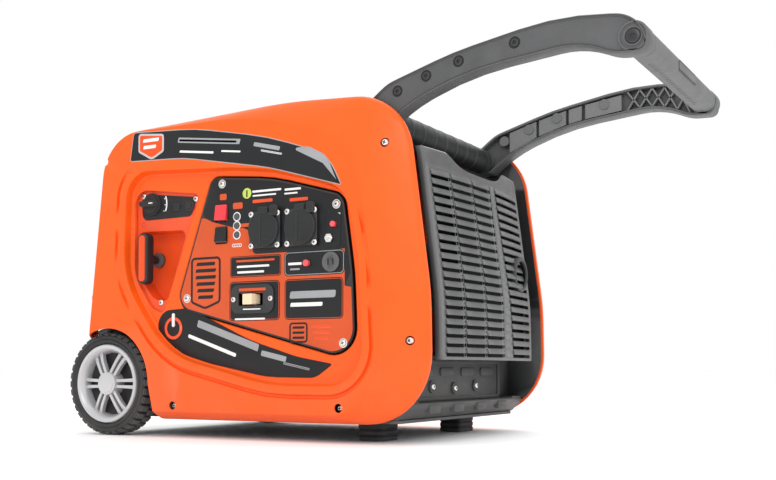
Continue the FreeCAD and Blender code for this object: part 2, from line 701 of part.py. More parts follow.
def outlets():
    """Two AC outlets with hinged lids, and the small DC outlet."""
    front = dim("panelBackY") + dim("panelThick")
    z = dim("socketZ")
    for name, x in (("left", dim("socketLeftX")), ("right", dim("socketRightX"))):
        size = dim("socketPlate")
        face = -front - dim("flangeThick")
        base = slab(rectangle(x, z, size, size, 8), face, -front)
        base = base.fuse(rod(x, z, 21, -front, -front + 22))
        base = base.cut(rod(x, z, dim("socketWell"), face - 1, face + dim("socketWellDeep")))
        for pin in (-9.5, 9.5):
            base = base.cut(rod(x + pin, z, 2.5, -front, -front + 20))
        for dx in (-1, 1):
            for dz in (-1, 1):
                spot = (x + dx * dim("socketScrew"), z + dz * dim("socketScrew"))
                base = base.fuse(rod(spot[0], spot[1], 3.8, face - 1.4, face))
        set_shape("ac_outlet_" + name, base.removeSplitter())
        inner = -front - dim("lidGap")
        lid = rod(x, z, dim("lidRadius"), inner - dim("lidThick"), inner)
        tab = slab(rectangle(x, z + 27, 16, 9, 2), inner - dim("lidThick"), inner)
        barrel = Part.makeCylinder(2.2, 18, V(x - 9, -dim("lidHingeY"), z + 29), V(1, 0, 0))
        set_shape("outlet_lid_" + name, lid.fuse([tab, barrel]).removeSplitter())
    body = rod(dim("dcX"), dim("dcZ"), dim("dcRadius"), -front - 2.5, -front)
    body = body.fuse(rod(dim("dcX"), dim("dcZ"), 10.5, -front, -front + 18))
    for shift in (-4, 4):
        body = body.cut(slab(rectangle(dim("dcX") + shift, dim("dcZ"), 1.8, 8), -front - 3, -front + 12))
    set_shape("dc_outlet", body.removeSplitter())


def switches():
    """Rockers, push buttons, lamps, breaker and earth terminal."""
    front = dim("panelBackY") + dim("panelThick")
    for label, z in (("start_rocker", dim("startZ")), ("eco_rocker", dim("ecoZ"))):
        rocker = slab(rectangle(dim("rockerX"), z, dim("rockerWide"), dim("rockerHigh"), 1.5),
                      -front - dim("rockerProud"), -front + 6)
        rocker.rotate(V(dim("rockerX"), -front + 3, z), V(1, 0, 0), -dim("rockerTilt"))
        pin_long = dim("rockerWide") + 1.4
        start = V(dim("rockerX") - pin_long / 2, -front + 3, z)
        pin = Part.makeCylinder(1.6, pin_long, start, V(1, 0, 0))
        set_shape(label, rocker.fuse(pin))
    lamps = [rod(dim("lampX"), dim("lampZ") + step * dim("lampPitch"), dim("lampRadius"),
                 -front - 1.6, -front + 5) for step in range(3)]
    set_shape("status_lamps", Part.makeCompound(lamps))
    tip = -front - dim("buttonProud")
    set_shape("reset_button", rod(dim("resetX"), dim("resetZ"), dim("resetRadius"), tip, -front + 7))
    set_shape("dc_breaker_button", rod(dim("tripX"), dim("tripZ"), dim("tripRadius"), tip, -front + 7))
    x = dim("breakerX")
    z = dim("breakerZ")
    frame = slab(rectangle(x, z, dim("breakerWide"), dim("breakerHigh"), 13), -front - 3, -front)
    frame = frame.fuse(slab(rectangle(x, z, 54, 28, 2), -front, -front + 24))
    frame = frame.cut(slab(rectangle(x - 2, z, 42, 18, 1), -front - 4, -front + 18))
    for dx in (-32.5, 32.5):
        frame = frame.fuse(rod(x + dx, z, 3.6, -front - 4.6, -front - 3))
    set_shape("ac_breaker", frame.removeSplitter())
    lever = slab(rectangle(x - 2, z, 20, 15, 1.5), -front - 6.5, -front + 9)
    lever.rotate(V(x - 2, -front + 9, z), V(0, 0, 1), -dim("leverTilt"))
    pin = Part.makeCylinder(2.5, 17.4, V(x - 2, -front + 9, z - 8.7))
    set_shape("breaker_lever", lever.fuse(pin))
    stud = rod(dim("earthX"), dim("earthZ"), 3, -front - 9.5, -front + 12)
    hexagon = Part.makePolygon([V(dim("earthX") + 6.4 * math.cos(math.radians(60 * k)), -front - 5,
                                  dim("earthZ") + 6.4 * math.sin(math.radians(60 * k))) for k in range(7)])
    nut = Part.Face(hexagon).extrude(V(0, 5, 0))
    set_shape("earth_terminal", stud.fuse(nut).removeSplitter())


def recoil_side():
    """The recoil bezel with its pocket, the guide, the mode knob and the pull grip."""
    face = dim("bezelY")
    floor = dim("pocketY")
    bezel = slab(grown(BEZEL, -0.4), -face, -face + 3, [POCKET])
    tub = slab(grown(POCKET, 2), -face, -floor + 3).cut(slab(POCKET, -face, -floor))
    bezel = bezel.fuse(tub)
    for x, z in BEZEL_SCREWS[:2]:
        bezel = bezel.cut(rod(x, z, dim("screwHole"), -face, -face + 3))
    x = dim("recoilX")
    z = dim("recoilZ")
    bezel = bezel.cut(rod(x, z, 8, -face, -floor + 3)).cut(rod(-148, 199, dim("screwHole"), -face, -150))
    bezel = bezel.cut(rod(dim("knobX"), dim("knobZ"), 6.1, -face, -face + 3))
    set_shape("recoil_bezel", max(bezel.Solids, key=lambda solid: solid.Volume))
    guide = rod(x, z, 7.8, -floor, -floor + 8).fuse(rod(x, z, 11, -floor - 6, -floor))
    set_shape("rope_guide", guide.cut(rod(x, z, dim("ropeRadius") + 1.5, -floor - 7, -floor + 9)))
    knob = rod(dim("knobX"), dim("knobZ"), dim("knobRadius"), -face - 8, -face - 0.4)
    knob = knob.fuse(slab(rectangle(dim("knobX"), dim("knobZ"), 30, 9, 4), -face - 17, -face - 7))
    knob = knob.fuse(rod(dim("knobX"), dim("knobZ"), 6, -face - 1, -face + 12))
    set_shape("mode_knob", knob.removeSplitter())
    bar = slab(rectangle(x, z, dim("gripBarWide"), dim("gripBarHigh"), 9), -227, -209.5)
    bar = bar.makeFillet(2.5, [edge for edge in bar.Edges if abs(edge.CenterOfMass.y + 227) < 0.1])
    stem = Part.makeCone(8, 5, 17, V(x, -209.6, z), V(0, 1, 0))
    grip = bar.fuse(stem).cut(rod(x, z, dim("ropeRadius"), -206, -190)).removeSplitter()
    set_shape("recoil_grip", grip)
    set_shape("recoil_rope", rod(x, z, dim("ropeRadius"), -205.9, -14))


control_panel()
outlets()
switches()
recoil_side()


# ---------------------------------------------------------------- inside
def engine():
    """Crankcase with a finned cylinder, head, crankshaft, rotor, stator and pulley."""
    z = dim("crankZ")
    half = dim("caseHalf")
    low = dim("caseLow")
    case = Part.makeBox(dim("caseLong"), 2 * half, dim("caseHigh") - low, V(dim("caseX"), -half, low))
    case = case.makeFillet(12, case.Edges)
    bore = dim("crankRadius") + dim("runningFit")
    inside = Part.makeBox(dim("caseLong") - 24, 2 * half - 16, 150, V(dim("caseX") + 12, -half + 8, 130))
    case = case.cut(inside).cut(Part.makeCylinder(bore, 200, V(dim("caseX") - 5, 0, z), V(1, 0, 0)))
    set_shape("crankcase", case)
    barrel = Part.makeBox(74, 70, 74, V(-44, half + 0.2, z - 37))
    for step in range(7):
        barrel = barrel.fuse(Part.makeBox(92, 3, 92, V(-53, half + 6 + step * dim("finPitch"), z - 46)))
    set_shape("cylinder_barrel", barrel.removeSplitter())
    head = Part.makeBox(84, 24, 84, V(-49, half + 70.5, z - 42))
    set_shape("cylinder_head", head.makeFillet(8, head.Edges))
    shaft = Part.makeCylinder(dim("crankRadius"), 224, V(-168, 0, z), V(1, 0, 0))
    set_shape("crankshaft", shaft)
    wide = dim("rotorRadius")
    long = dim("rotorLong")
    rotor = Part.makeCylinder(wide - 10, long, V(dim("rotorX"), 0, z), V(1, 0, 0))
    rotor = rotor.cut(Part.makeCylinder(wide - 18, long - 5, V(dim("rotorX") + 5, 0, z), V(1, 0, 0)))
    for step in range(12):
        blade = Part.makeBox(14, 3, 12, V(dim("rotorX"), -1.5, z + wide - 12))
        blade.rotate(V(0, 0, z), V(1, 0, 0), 30 * step)
        rotor = rotor.fuse(blade)
    rotor = rotor.cut(Part.makeCylinder(dim("crankRadius") + 0.02, 300, V(-200, 0, z), V(1, 0, 0)))
    set_shape("fan_rotor", rotor.removeSplitter())
    stator = Part.makeCylinder(wide - 20, 40, V(dim("rotorX") + 12, 0, z), V(1, 0, 0))
    set_shape("stator", stator.cut(Part.makeCylinder(18, 60, V(-150, 0, z), V(1, 0, 0))))
    groove = dim("pulleyRadius")
    pulley = Part.makeCylinder(groove, 12, V(-176, 0, z), V(1, 0, 0))
    for x in (-178.5, -166):
        pulley = pulley.fuse(Part.makeCylinder(groove + 7, 2.5, V(x, 0, z), V(1, 0, 0)))
    pulley = pulley.cut(Part.makeCylinder(12.3, 20, V(-180, 0, z), V(1, 0, 0)))
    set_shape("recoil_pulley", pulley.removeSplitter())
    housing = Part.makeCylinder(62, 44, V(-204, 0, z), V(1, 0, 0))
    housing = housing.cut(Part.makeCylinder(59, 44, V(-201, 0, z), V(1, 0, 0)))
    housing = housing.cut(Part.makeBox(16, 60, 16, V(-178, -65, dim("recoilZ") - 8)))
    housing = housing.fuse(Part.makeCylinder(12.2, 24, V(-203, 0, z), V(1, 0, 0)))
    set_shape("recoil_housing", housing.removeSplitter())


def fuel_and_exhaust():
    """Fuel tank with its neck, cap, carburettor, air filter box, muffler, spark plug."""
    low = dim("tankLow")
    long = dim("tankLong")
    wide = dim("tankWide")
    high = dim("tankHigh") - low
    tank = Part.makeBox(long, wide, high, V(dim("tankX"), -wide / 2, low))
    tank = tank.makeFillet(18, tank.Edges)
    tank = tank.fuse(Part.makeCylinder(dim("fillRadius"), 24, V(dim("fillX"), 0, dim("tankHigh") - 4)))
    inside = Part.makeBox(long - 10, wide - 10, high - 8, V(dim("tankX") + 5, 5 - wide / 2, low + 4))
    tank = tank.cut(inside.makeFillet(14, inside.Edges))
    tank = tank.cut(Part.makeCylinder(dim("fillRadius") - 3, 60, V(dim("fillX"), 0, dim("tankHigh") - 20)))
    set_shape("fuel_tank", tank.removeSplitter())
    cap = Part.makeCylinder(dim("capRadius"), 15, V(dim("fillX"), 0, 459.5))
    plug = Part.makeCylinder(dim("fillRadius") - 3.5, 16, V(dim("fillX"), 0, 444))
    set_shape("fuel_cap", cap.fuse(plug).removeSplitter())
    size = ("Dims.airBoxLong", "Dims.airBoxWide", "Dims.airBoxLong")
    keep(soft_block(size, ("-60", "-150", "262"), 6), "air_filter_box")
    venturi = drum("17", "20", ("-20", "-93.5", "310"), "Y")
    keep(fuse(venturi, block(("30", "18", "44"), ("-35", "-92", "300"))), "carburettor")
    size = ("Dims.mufflerLong", "Dims.mufflerWide", "Dims.mufflerHigh")
    keep(soft_block(size, ("100", "34", "196"), 16), "muffler")
    plug = Part.makeCylinder(7, 20, V(-7, 169, dim("crankZ") + 10), V(0, 1, 0))
    set_shape("spark_plug", plug)


def electrics_and_mounts():
    """Inverter module behind the panel, starting battery, engine mounts."""
    long = dim("inverterLong")
    corner = V(70, -150, 170)
    case = Part.makeBox(long, dim("inverterDeep"), dim("inverterHigh"), corner)
    for step in range(9):
        case = case.fuse(Part.makeBox(long, 12, 3, corner + V(0, dim("inverterDeep"), 6 + step * 13)))
    set_shape("inverter_module", case.removeSplitter())
    size = ("Dims.batteryLong", "Dims.batteryWide", "Dims.batteryHigh")
    keep(soft_block(size, ("72", "-172", "33"), 3), "starting_battery")
    mounts = [drum("16", "34", (x, y, "31.7"), "Z") for x in ("-50", "36") for y in ("-56", "56")]
    keep(group(*mounts), "engine_mounts")


def service_door():
    """The hinged service door in the rear shell. Its corners are rounder on the hinge
    side, so that they swing clear of the opening."""
    corners = [(u, v, radius + 8 if u < dim("doorX") else radius)
               for u, v, radius in service_outline(-dim("doorGap"))]
    door = slab(corners, dim("faceY") - dim("wall"), dim("faceY"))
    edge = dim("doorX") - dim("doorWide") / 2 + dim("doorGap")
    for z in (dim("doorZ") - 85, dim("doorZ") + 45):
        door = door.fuse(Part.makeCylinder(2, 40, V(edge + 4, dim("faceY") - 2, z)))
    set_shape("service_door", door.removeSplitter())


engine()
fuel_and_exhaust()
electrics_and_mounts()
service_door()


# ---------------------------------------------------------------- check and write
doc.recompute()
for item in doc.Objects:
    if "Invalid" in item.State or "Error" in item.State:
        raise RuntimeError("%s (%s) did not build" % (item.Label, item.Name))
whole = FreeCAD.BoundBox()
os.makedirs("parts", exist_ok=True)
for item in parts:
    if item.Shape.isNull() or not item.Shape.isValid():
        raise RuntimeError("%s has no valid shape" % item.Label)
    whole.add(item.Shape.BoundBox)
for item in parts:
    item.Shape.exportStep("parts/%s.step" % item.Label)
print("%d sub-parts, X %.2f to %.2f, Y %.2f to %.2f, Z %.2f to %.2f" % (
    len(parts), whole.XMin, whole.XMax, whole.YMin, whole.YMax, whole.ZMin, whole.ZMax))
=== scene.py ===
import math

import bmesh
import bpy
from mathutils import Matrix, Vector


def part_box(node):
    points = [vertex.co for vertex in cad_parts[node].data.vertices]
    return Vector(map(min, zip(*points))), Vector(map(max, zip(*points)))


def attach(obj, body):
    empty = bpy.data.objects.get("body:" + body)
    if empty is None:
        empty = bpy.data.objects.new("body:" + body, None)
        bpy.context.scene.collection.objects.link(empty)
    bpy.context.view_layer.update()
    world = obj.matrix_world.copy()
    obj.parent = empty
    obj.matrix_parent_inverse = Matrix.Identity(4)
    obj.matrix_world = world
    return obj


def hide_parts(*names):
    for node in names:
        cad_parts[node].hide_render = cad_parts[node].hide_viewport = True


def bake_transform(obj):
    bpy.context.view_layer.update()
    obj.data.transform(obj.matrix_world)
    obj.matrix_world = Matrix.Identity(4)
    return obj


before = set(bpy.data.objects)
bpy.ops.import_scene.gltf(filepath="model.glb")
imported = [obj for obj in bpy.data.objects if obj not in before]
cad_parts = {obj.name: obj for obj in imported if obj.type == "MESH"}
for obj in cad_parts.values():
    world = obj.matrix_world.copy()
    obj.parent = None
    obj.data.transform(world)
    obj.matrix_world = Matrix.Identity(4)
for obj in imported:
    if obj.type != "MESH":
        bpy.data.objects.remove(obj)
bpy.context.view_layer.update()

# Outlines are drawn in millimetres about the middle of the casing, where +X is the
# exhaust end. The casing's middle is found from the axle's place in the frame.
MM = 0.001
WHEEL = (-241, 78)
AXLE_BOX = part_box("axle")
SHIFT = (AXLE_BOX[0][0] + AXLE_BOX[1][0]) / 2 - WHEEL[0] * MM

FACE_Y = 228
SEAM_Y = 200
FLOOR_Y = 214
PIVOT = (206, 440)
KNUCKLE = (567, 497.5)

RIM = [(-286, 26, 60), (303, 26, 95), (300, 200, 420), (264, 465, 90),
       (81, 474.5, 900), (-249, 459, 85), (-286, 150, 300)]
FACE = [(-272, 38, 50), (238, 38, 80), (236, 205, 300), (196, 412, 105),
        (30, 456, 500), (-240, 456, 70), (-273, 150, 260)]
RECESS = [(-201, 398, 42), (60, 384, 500), (186, 343, 50), (206, 250, 300),
          (214, 76, 55), (60, 76, 300), (-124, 120, 150), (-207, 235, 120)]
PANEL = [(-47, 377, 16), (60, 367, 300), (175, 335, 22), (190, 230, 400),
         (195, 111, 34), (-112, 191, 24)]
BEZEL = [(-197, 373, 22), (-68, 357, 11), (-138, 179, 12), (-166, 191, 30), (-197, 240, 60)]
POCKET = [(-193, 307, 10), (-99, 305, 10), (-137, 200, 12), (-163, 205, 25), (-193, 243, 40)]
STRIP = [(-193, 411, 4), (-90, 407, 300), (60, 380, 400), (181, 345, 2), (158, 390, 60),
         (60, 424, 500), (-70, 449, 400), (-186, 455, 6)]
SWOOSH = [(-147, 186, 23), (-88, 189, 30), (20, 141, 300), (100, 117, 200), (158, 107, 1.5),
          (130, 88, 30), (50, 89, 200), (-50, 108, 300), (-146, 134, 23)]
ARM = [(196, 424, 6), (188, 450, 10), (232, 483, 60), (330, 512, 500), (480, 538, 370),
       (574, 524, 44), (588, 478, 11), (545, 479, 60), (500, 499, 118), (345, 483, 400),
       (262, 450, 200), (222, 420, 8)]
ARM_SCREWS = [(247, 471), (290, 486), (337, 499), (415, 512)]
SHELL_SCREWS = [(-243, 416), (-277, 210), (-108, 47), (175, 48), (277, 137), (240, 399)]


# ---------------------------------------------------------------- outline tools
def loop(corners, run=12.0, turn=10.0, exact=None):
    """Points round an outline of (u, v, radius) corners. With exact = (arc, straight)
    every corner and run gets that many steps, so that two outlines can be joined."""
    count = len(corners)
    spans = []
    for i, (u, v, radius) in enumerate(corners):
        here = Vector((u, v))
        back = (Vector(corners[i - 1][:2]) - here).normalized()
        ahead = (Vector(corners[(i + 1) % count][:2]) - here).normalized()
        half = back.angle(ahead) / 2
        if radius <= 0:
            spans.append([here])
            continue
        reach = radius / math.tan(half)
        centre = here + (back + ahead).normalized() * (radius / math.sin(half))
        start = here + back * reach - centre
        end = here + ahead * reach - centre
        angle = start.angle_signed(end)
        steps = exact[0] if exact else max(2, round(math.degrees(abs(angle)) / turn))
        first = math.atan2(start.y, start.x)
        spans.append([centre + radius * Vector((math.cos(first - angle * k / steps),
                                                math.sin(first - angle * k / steps)))
                      for k in range(steps + 1)])
    points = []
    for i, span in enumerate(spans):
        points += span
        after = spans[(i + 1) % count][0]
        steps = exact[1] if exact else max(1, round((after - span[-1]).length / run))
        points += [span[-1].lerp(after, k / steps) for k in range(1, steps)]
    return points


def oval(u, v, radius, steps=32):
    """Points round a circle."""
    return [Vector((u + radius * math.cos(2 * math.pi * k / steps),
                    v + radius * math.sin(2 * math.pi * k / steps)))
            for k in range(steps)]


def fluted(u, v, reaches):
    """Points round a circle whose radius changes from point to point."""
    count = len(reaches)
    return [Vector((u, v)) + reach * Vector((math.cos(math.tau * k / count),
                                             math.sin(math.tau * k / count)))
            for k, reach in enumerate(reaches)]


def block_loop(u, v, wide, high, radius, turn=15.0):
    """Points round a rectangle with rounded corners."""
    a = wide / 2
    b = high / 2
    return loop([(u - a, v - b, radius), (u + a, v - b, radius), (u + a, v + b, radius),
                 (u - a, v + b, radius)], run=1000, turn=turn)


def turned(points, angle, u, v):
    """The points turned about (u, v)."""
    spin = Matrix.Rotation(angle, 2)
    return [spin @ (p - Vector((u, v))) + Vector((u, v)) for p in points]


def signed_area(points):
    """Positive when the points run anticlockwise."""
    return sum(a.x * b.y - b.x * a.y for a, b in zip(points, points[1:] + points[:1])) / 2


def grown(points, distance):
    """Every point moved outwards by a distance (inwards when negative)."""
    side = 1 if signed_area(points) > 0 else -1
    moved = []
    for i, here in enumerate(points):
        a = (here - points[i - 1])
        b = (points[(i + 1) % len(points)] - here)
        a = a.normalized() if a.length > 1e-9 else b.normalized()
        b = b.normalized() if b.length > 1e-9 else a
        normal = Vector((a.y + b.y, -a.x - b.x)).normalized() * side
        lean = max(0.5, normal.dot(Vector((a.y, -a.x)) * side))
        moved.append(here + normal * distance / lean)
    return moved


# ---------------------------------------------------------------- mesh tools
WELD = 2e-5             # vertices closer than this are one, in metres
SIDES = ((-1, "front"), (1, "rear"))


def at(x, y, z):
    """A place in the frame, in metres, from millimetres about the casing's middle."""
    return Vector((x * MM + SHIFT, y * MM, z * MM))


def across(side=-1):
    """Maps (u, v, depth) to the machine: u along, v up, depth across on one side."""
    return lambda u, v, depth: at(u, side * depth, v)


def along(u, v, depth):
    """Maps (u, v, depth) to the machine: u along, v up, depth from front to rear."""
    return at(u, depth, v)


class Sculpt:
    """A mesh in the making, with the few ways that the pieces are built here."""

    def __init__(self, place=None):
        self.bm = bmesh.new()
        self.place = place or across()

    def ring(self, points, depth):
        """Vertices along a closed loop at a depth; depth may be a function."""
        return [self.bm.verts.new(self.place(p.x, p.y, depth(p) if callable(depth) else depth))
                for p in points]

    def face(self, verts, mat=0):
        """One face, unless it has no area or is there already."""
        if len(set(verts)) < 3:
            return None
        try:
            made = self.bm.faces.new(verts)
        except ValueError:
            return None
        made.material_index = mat
        return made

    def skin(self, rings, mat=0, closed=True):
        """Quads between consecutive rings."""
        for a, b in zip(rings, rings[1:]):
            count = len(a)
            for i in range(count if closed else count - 1):
                j = (i + 1) % count
                self.face((a[i], a[j], b[j], b[i]), mat)

    def sheet(self, rows, mat=0):
        """An open surface through rows of places."""
        rows = [[self.bm.verts.new(place) for place in row] for row in rows]
        self.skin(rows, mat, closed=False)

    def lathe(self, u, v, profile, steps, mat=0):
        """A turned skin about (u, v): profile is (radius, depth) pairs."""
        rings = [self.ring(oval(u, v, radius, steps), depth) for radius, depth in profile]
        self.skin(rings, mat)
        return rings

    def stack(self, points, profile, mat=0):
        """Rings of one outline: profile is (outward offset, depth) pairs."""
        rings = [self.ring(grown(points, off) if off else points, depth) for off, depth in profile]
        self.skin(rings, mat)
        return rings

    def cap(self, ring, mat=0):
        """One face over a ring."""
        self.face(ring, mat)

    def ends(self, rings, mat=0):
        """Faces over the first and the last ring."""
        self.cap(rings[0], mat)
        self.cap(rings[-1], mat)

    def plate(self, outer, holes, mat=0):
        """A flat region between an outer ring and rings inside it."""
        edges = []
        for ring in [outer] + list(holes):
            for a, b in zip(ring, ring[1:] + ring[:1]):
                edges.append(self.bm.edges.get((a, b)) or self.bm.edges.new((a, b)))
        made = bmesh.ops.triangle_fill(self.bm, use_beauty=True, use_dissolve=False, edges=edges)
        for item in made["geom"]:
            if isinstance(item, bmesh.types.BMFace):
                item.material_index = mat

    def solid(self, points, low, high, bevel=0.6, mat=0):
        """A raised plate with a bevelled front edge."""
        rings = self.stack(points, [(0, low), (0, high - bevel), (-0.3 * bevel, high - 0.3 * bevel),
                                    (-bevel, high)], mat)
        self.cap(rings[-1], mat)
        self.cap(rings[0][::-1], mat)

    def finish(self, name, materials, body, slot=None, *stands_for, smooth=32.0):
        """The object: smooth shaded with sharp creases. It rides on its body and stands for
        the CAD nodes named last. Its slot is not used."""
        bmesh.ops.remove_doubles(self.bm, verts=self.bm.verts, dist=WELD)
        loose = [v for v in self.bm.verts if not v.link_faces]
        bmesh.ops.delete(self.bm, geom=loose, context="VERTS")
        bmesh.ops.recalc_face_normals(self.bm, faces=self.bm.faces)
        mesh = bpy.data.meshes.new(name)
        self.bm.to_mesh(mesh)
        self.bm.free()
        for material in materials:
            mesh.materials.append(material)
        mesh.shade_smooth()
        mesh.set_sharp_from_angle(angle=math.radians(smooth))
        piece = bpy.data.objects.new(name, mesh)
        bpy.context.scene.collection.objects.link(piece)
        if body:
            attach(piece, body)
        for node in stands_for:
            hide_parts(node)
        return piece


def mirrored(profile, middle):
    """A profile from one end, over its middle, to the same at the other end."""
    return profile + middle + [(off, -depth) for off, depth in profile[::-1]]


def apply(piece, modifier):
    """Apply one modifier to a piece."""
    with bpy.context.temp_override(object=piece, active_object=piece, selected_objects=[piece]):
        bpy.ops.object.modifier_apply(modifier=modifier.name)


def face_outwards(piece, direction=None):
    """Normals made to agree and, on an open skin, turned towards a direction."""
    bm = bmesh.new()
    bm.from_mesh(piece.data)
    bmesh.ops.recalc_face_normals(bm, faces=bm.faces)
    if direction is not None:
        flow = sum((face.normal * face.calc_area() for face in bm.faces), Vector((0, 0, 0)))
        if flow.dot(direction) < 0:
            bmesh.ops.reverse_faces(bm, faces=bm.faces)
    bm.to_mesh(piece.data)
    bm.free()


def thicken(piece, thickness, offset=0):
    """Give a skin a wall, in millimetres."""
    wall = piece.modifiers.new("wall", "SOLIDIFY")
    wall.thickness = thickness * MM
    wall.offset = offset
    apply(piece, wall)


def carve(piece, cutter):
    """Cut the cutter out of a piece, and drop the cutter."""
    modifier = piece.modifiers.new("carve", "BOOLEAN")
    modifier.operation = "DIFFERENCE"
    modifier.solver = "MANIFOLD"
    modifier.object = cutter
    apply(piece, modifier)
    bpy.data.objects.remove(cutter, do_unlink=True)


def even_normals(piece, smooth=32.0):
    """Flat areas keep flat shading beside their rounded edges."""
    piece.data.set_sharp_from_angle(angle=math.radians(smooth))
    modifier = piece.modifiers.new("normals", "WEIGHTED_NORMAL")
    modifier.keep_sharp = True
    apply(piece, modifier)


# ---------------------------------------------------------------- materials
def material(name, colour, rough=0.5, metal=0.0, grain=900.0, bump=0.25, mottle=0.06,
             wear=0.25, coat=0.0, soften=0.0, dirt=0.0, sheen=0.5):
    """A moulded, painted or metal surface: mottled colour, uneven gloss, fine grain,
    paler rubbed edges, and a little dust low down."""
    made = bpy.data.materials.new(name)
    made.use_nodes = True
    tree = made.node_tree
    nodes = tree.nodes
    links = tree.links
    shader = nodes["Principled BSDF"]
    shader.inputs["Metallic"].default_value = metal
    shader.inputs["Specular IOR Level"].default_value = sheen
    shader.inputs["Coat Weight"].default_value = coat
    shader.inputs["Coat Roughness"].default_value = 0.22
    place = nodes.new("ShaderNodeTexCoord").outputs["Object"]

    def noise(scale, detail=3.0):
        node = nodes.new("ShaderNodeTexNoise")
        node.inputs["Scale"].default_value = scale
        node.inputs["Detail"].default_value = detail
        links.new(place, node.inputs["Vector"])
        return node.outputs["Fac"]

    def blend(factor, first, second):
        node = nodes.new("ShaderNodeMix")
        node.data_type = "RGBA"
        links.new(factor, node.inputs["Factor"])
        for socket, value in ((node.inputs["A"], first), (node.inputs["B"], second)):
            if isinstance(value, tuple):
                socket.default_value = value
            else:
                links.new(value, socket)
        return node.outputs["Result"]

    def spread(source, low, high, to_low, to_high):
        node = nodes.new("ShaderNodeMapRange")
        for label, value in (("From Min", low), ("From Max", high), ("To Min", to_low),
                             ("To Max", to_high)):
            node.inputs[label].default_value = value
        links.new(source, node.inputs["Value"])
        return node.outputs["Result"]

    def tint(amount):
        return tuple(min(1.0, c * amount) for c in colour) + (1.0,)

    tone = blend(spread(noise(22.0), 0.3, 0.7, 0.0, 1.0), tint(1 - mottle), tint(1 + mottle))
    geometry = nodes.new("ShaderNodeNewGeometry")
    if wear > 0:
        rubbed = spread(geometry.outputs["Pointiness"], 0.53, 0.62, 0.0, wear)
        pale = tuple(c + 0.35 * (0.9 - c) for c in colour) + (1.0,)
        tone = blend(rubbed, tone, pale)
    if dirt > 0:
        height = nodes.new("ShaderNodeSeparateXYZ")
        links.new(geometry.outputs["Position"], height.inputs["Vector"])
        low = spread(height.outputs["Z"], 0.0, 0.16, dirt, 0.0)
        patch = nodes.new("ShaderNodeMath")
        patch.operation = "MULTIPLY"
        links.new(low, patch.inputs[0])
        links.new(spread(noise(35.0, 5.0), 0.35, 0.7, 0.2, 1.0), patch.inputs[1])
        tone = blend(patch.outputs["Value"], tone, (0.30, 0.27, 0.23, 1.0))
    links.new(tone, shader.inputs["Base Color"])
    links.new(spread(noise(70.0, 4.0), 0.25, 0.75, rough - 0.06, rough + 0.08),
              shader.inputs["Roughness"])
    relief = nodes.new("ShaderNodeBump")
    relief.inputs["Strength"].default_value = bump
    relief.inputs["Distance"].default_value = 0.0003
    links.new(noise(grain, 2.0), relief.inputs["Height"])
    if soften > 0:
        rounded = nodes.new("ShaderNodeBevel")
        rounded.inputs["Radius"].default_value = soften
        links.new(rounded.outputs["Normal"], relief.inputs["Normal"])
    links.new(relief.outputs["Normal"], shader.inputs["Normal"])
    return made


ORANGE = material("orange_shell", (0.90, 0.104, 0.006), 0.36, grain=700, bump=0.12, mottle=0.035,
                  wear=0.10, coat=0.06, dirt=0.08, sheen=0.26)
# deep orange is the ink of prints and inlays, and also a darker copy of the shell's orange that
# paints shade on the recoil bezel
DEEP_ORANGE_INK_AND_SHADE = material("deep_orange_ink_and_shade", (0.78, 0.072, 0.008), 0.46, grain=700, bump=0.14, mottle=0.05,
                       sheen=0.3)
FILM_ORANGE = material("film_orange", (0.60, 0.080, 0.013), 0.40, grain=1500, bump=0.06, wear=0.0,
                       sheen=0.35)
BLACK = material("black_plastic", (0.015, 0.016, 0.017), 0.52, grain=1100, bump=0.35, mottle=0.12,
                 wear=0.30, dirt=0.14, sheen=0.28)
FILM_BLACK = material("film_black", (0.009, 0.010, 0.011), 0.42, grain=1600, bump=0.08,
                      mottle=0.10, wear=0.0, sheen=0.30)
BASE = material("base_plastic", (0.050, 0.051, 0.052), 0.50, grain=1100, bump=0.35, mottle=0.12,
                wear=0.30, dirt=0.12, sheen=0.35)
# painted shade: near-black for the insides of slots, holes, wells and the outlet's throat, and for
# the sheet behind the grille; the spark screen's bars also take it as their own dark colour
SHADE_AND_SCREEN_BLACK = material("shade_and_screen_black", (0.005, 0.005, 0.006), 0.70, grain=900, bump=0.2, wear=0.0,
                sheen=0.08)
GREY = material("grille_grey", (0.090, 0.091, 0.092), 0.50, grain=1000, bump=0.45, mottle=0.12,
                wear=0.22, dirt=0.12, sheen=0.4)
ARM_GREY = material("arm_grey", (0.082, 0.083, 0.085), 0.48, grain=1000, bump=0.50, mottle=0.14,
                    wear=0.30, sheen=0.4)
ARM_RIM = material("arm_rim", (0.030, 0.031, 0.033), 0.50, grain=1000, bump=0.30, mottle=0.09,
                   sheen=0.3)
GRIP_GREY = material("grip_grey", (0.120, 0.121, 0.123), 0.55, grain=1400, bump=0.45, mottle=0.08)
TYRE = material("tyre_rubber", (0.010, 0.0103, 0.0107), 0.56, grain=600, bump=0.45, mottle=0.18,
                wear=0.30, dirt=0.12, sheen=0.45)
RUBBER = material("foot_rubber", (0.010, 0.010, 0.011), 0.66, grain=700, bump=0.4, mottle=0.15,
                  soften=0.001)
SILVER = material("silver_paint", (0.52, 0.52, 0.53), 0.34, metal=0.35, grain=2000, bump=0.06,
                  mottle=0.04, wear=0.1, coat=0.25)
ZINC = material("zinc", (0.74, 0.73, 0.70), 0.27, metal=1.0, grain=1800, bump=0.15, mottle=0.06,
                soften=0.0004)
DARK_STEEL = material("dark_steel", (0.045, 0.045, 0.047), 0.38, metal=0.7, grain=1800, bump=0.2)
BEIGE = material("beige_lever", (0.86, 0.66, 0.42), 0.38, grain=1500, bump=0.06, mottle=0.03,
                 soften=0.0006)
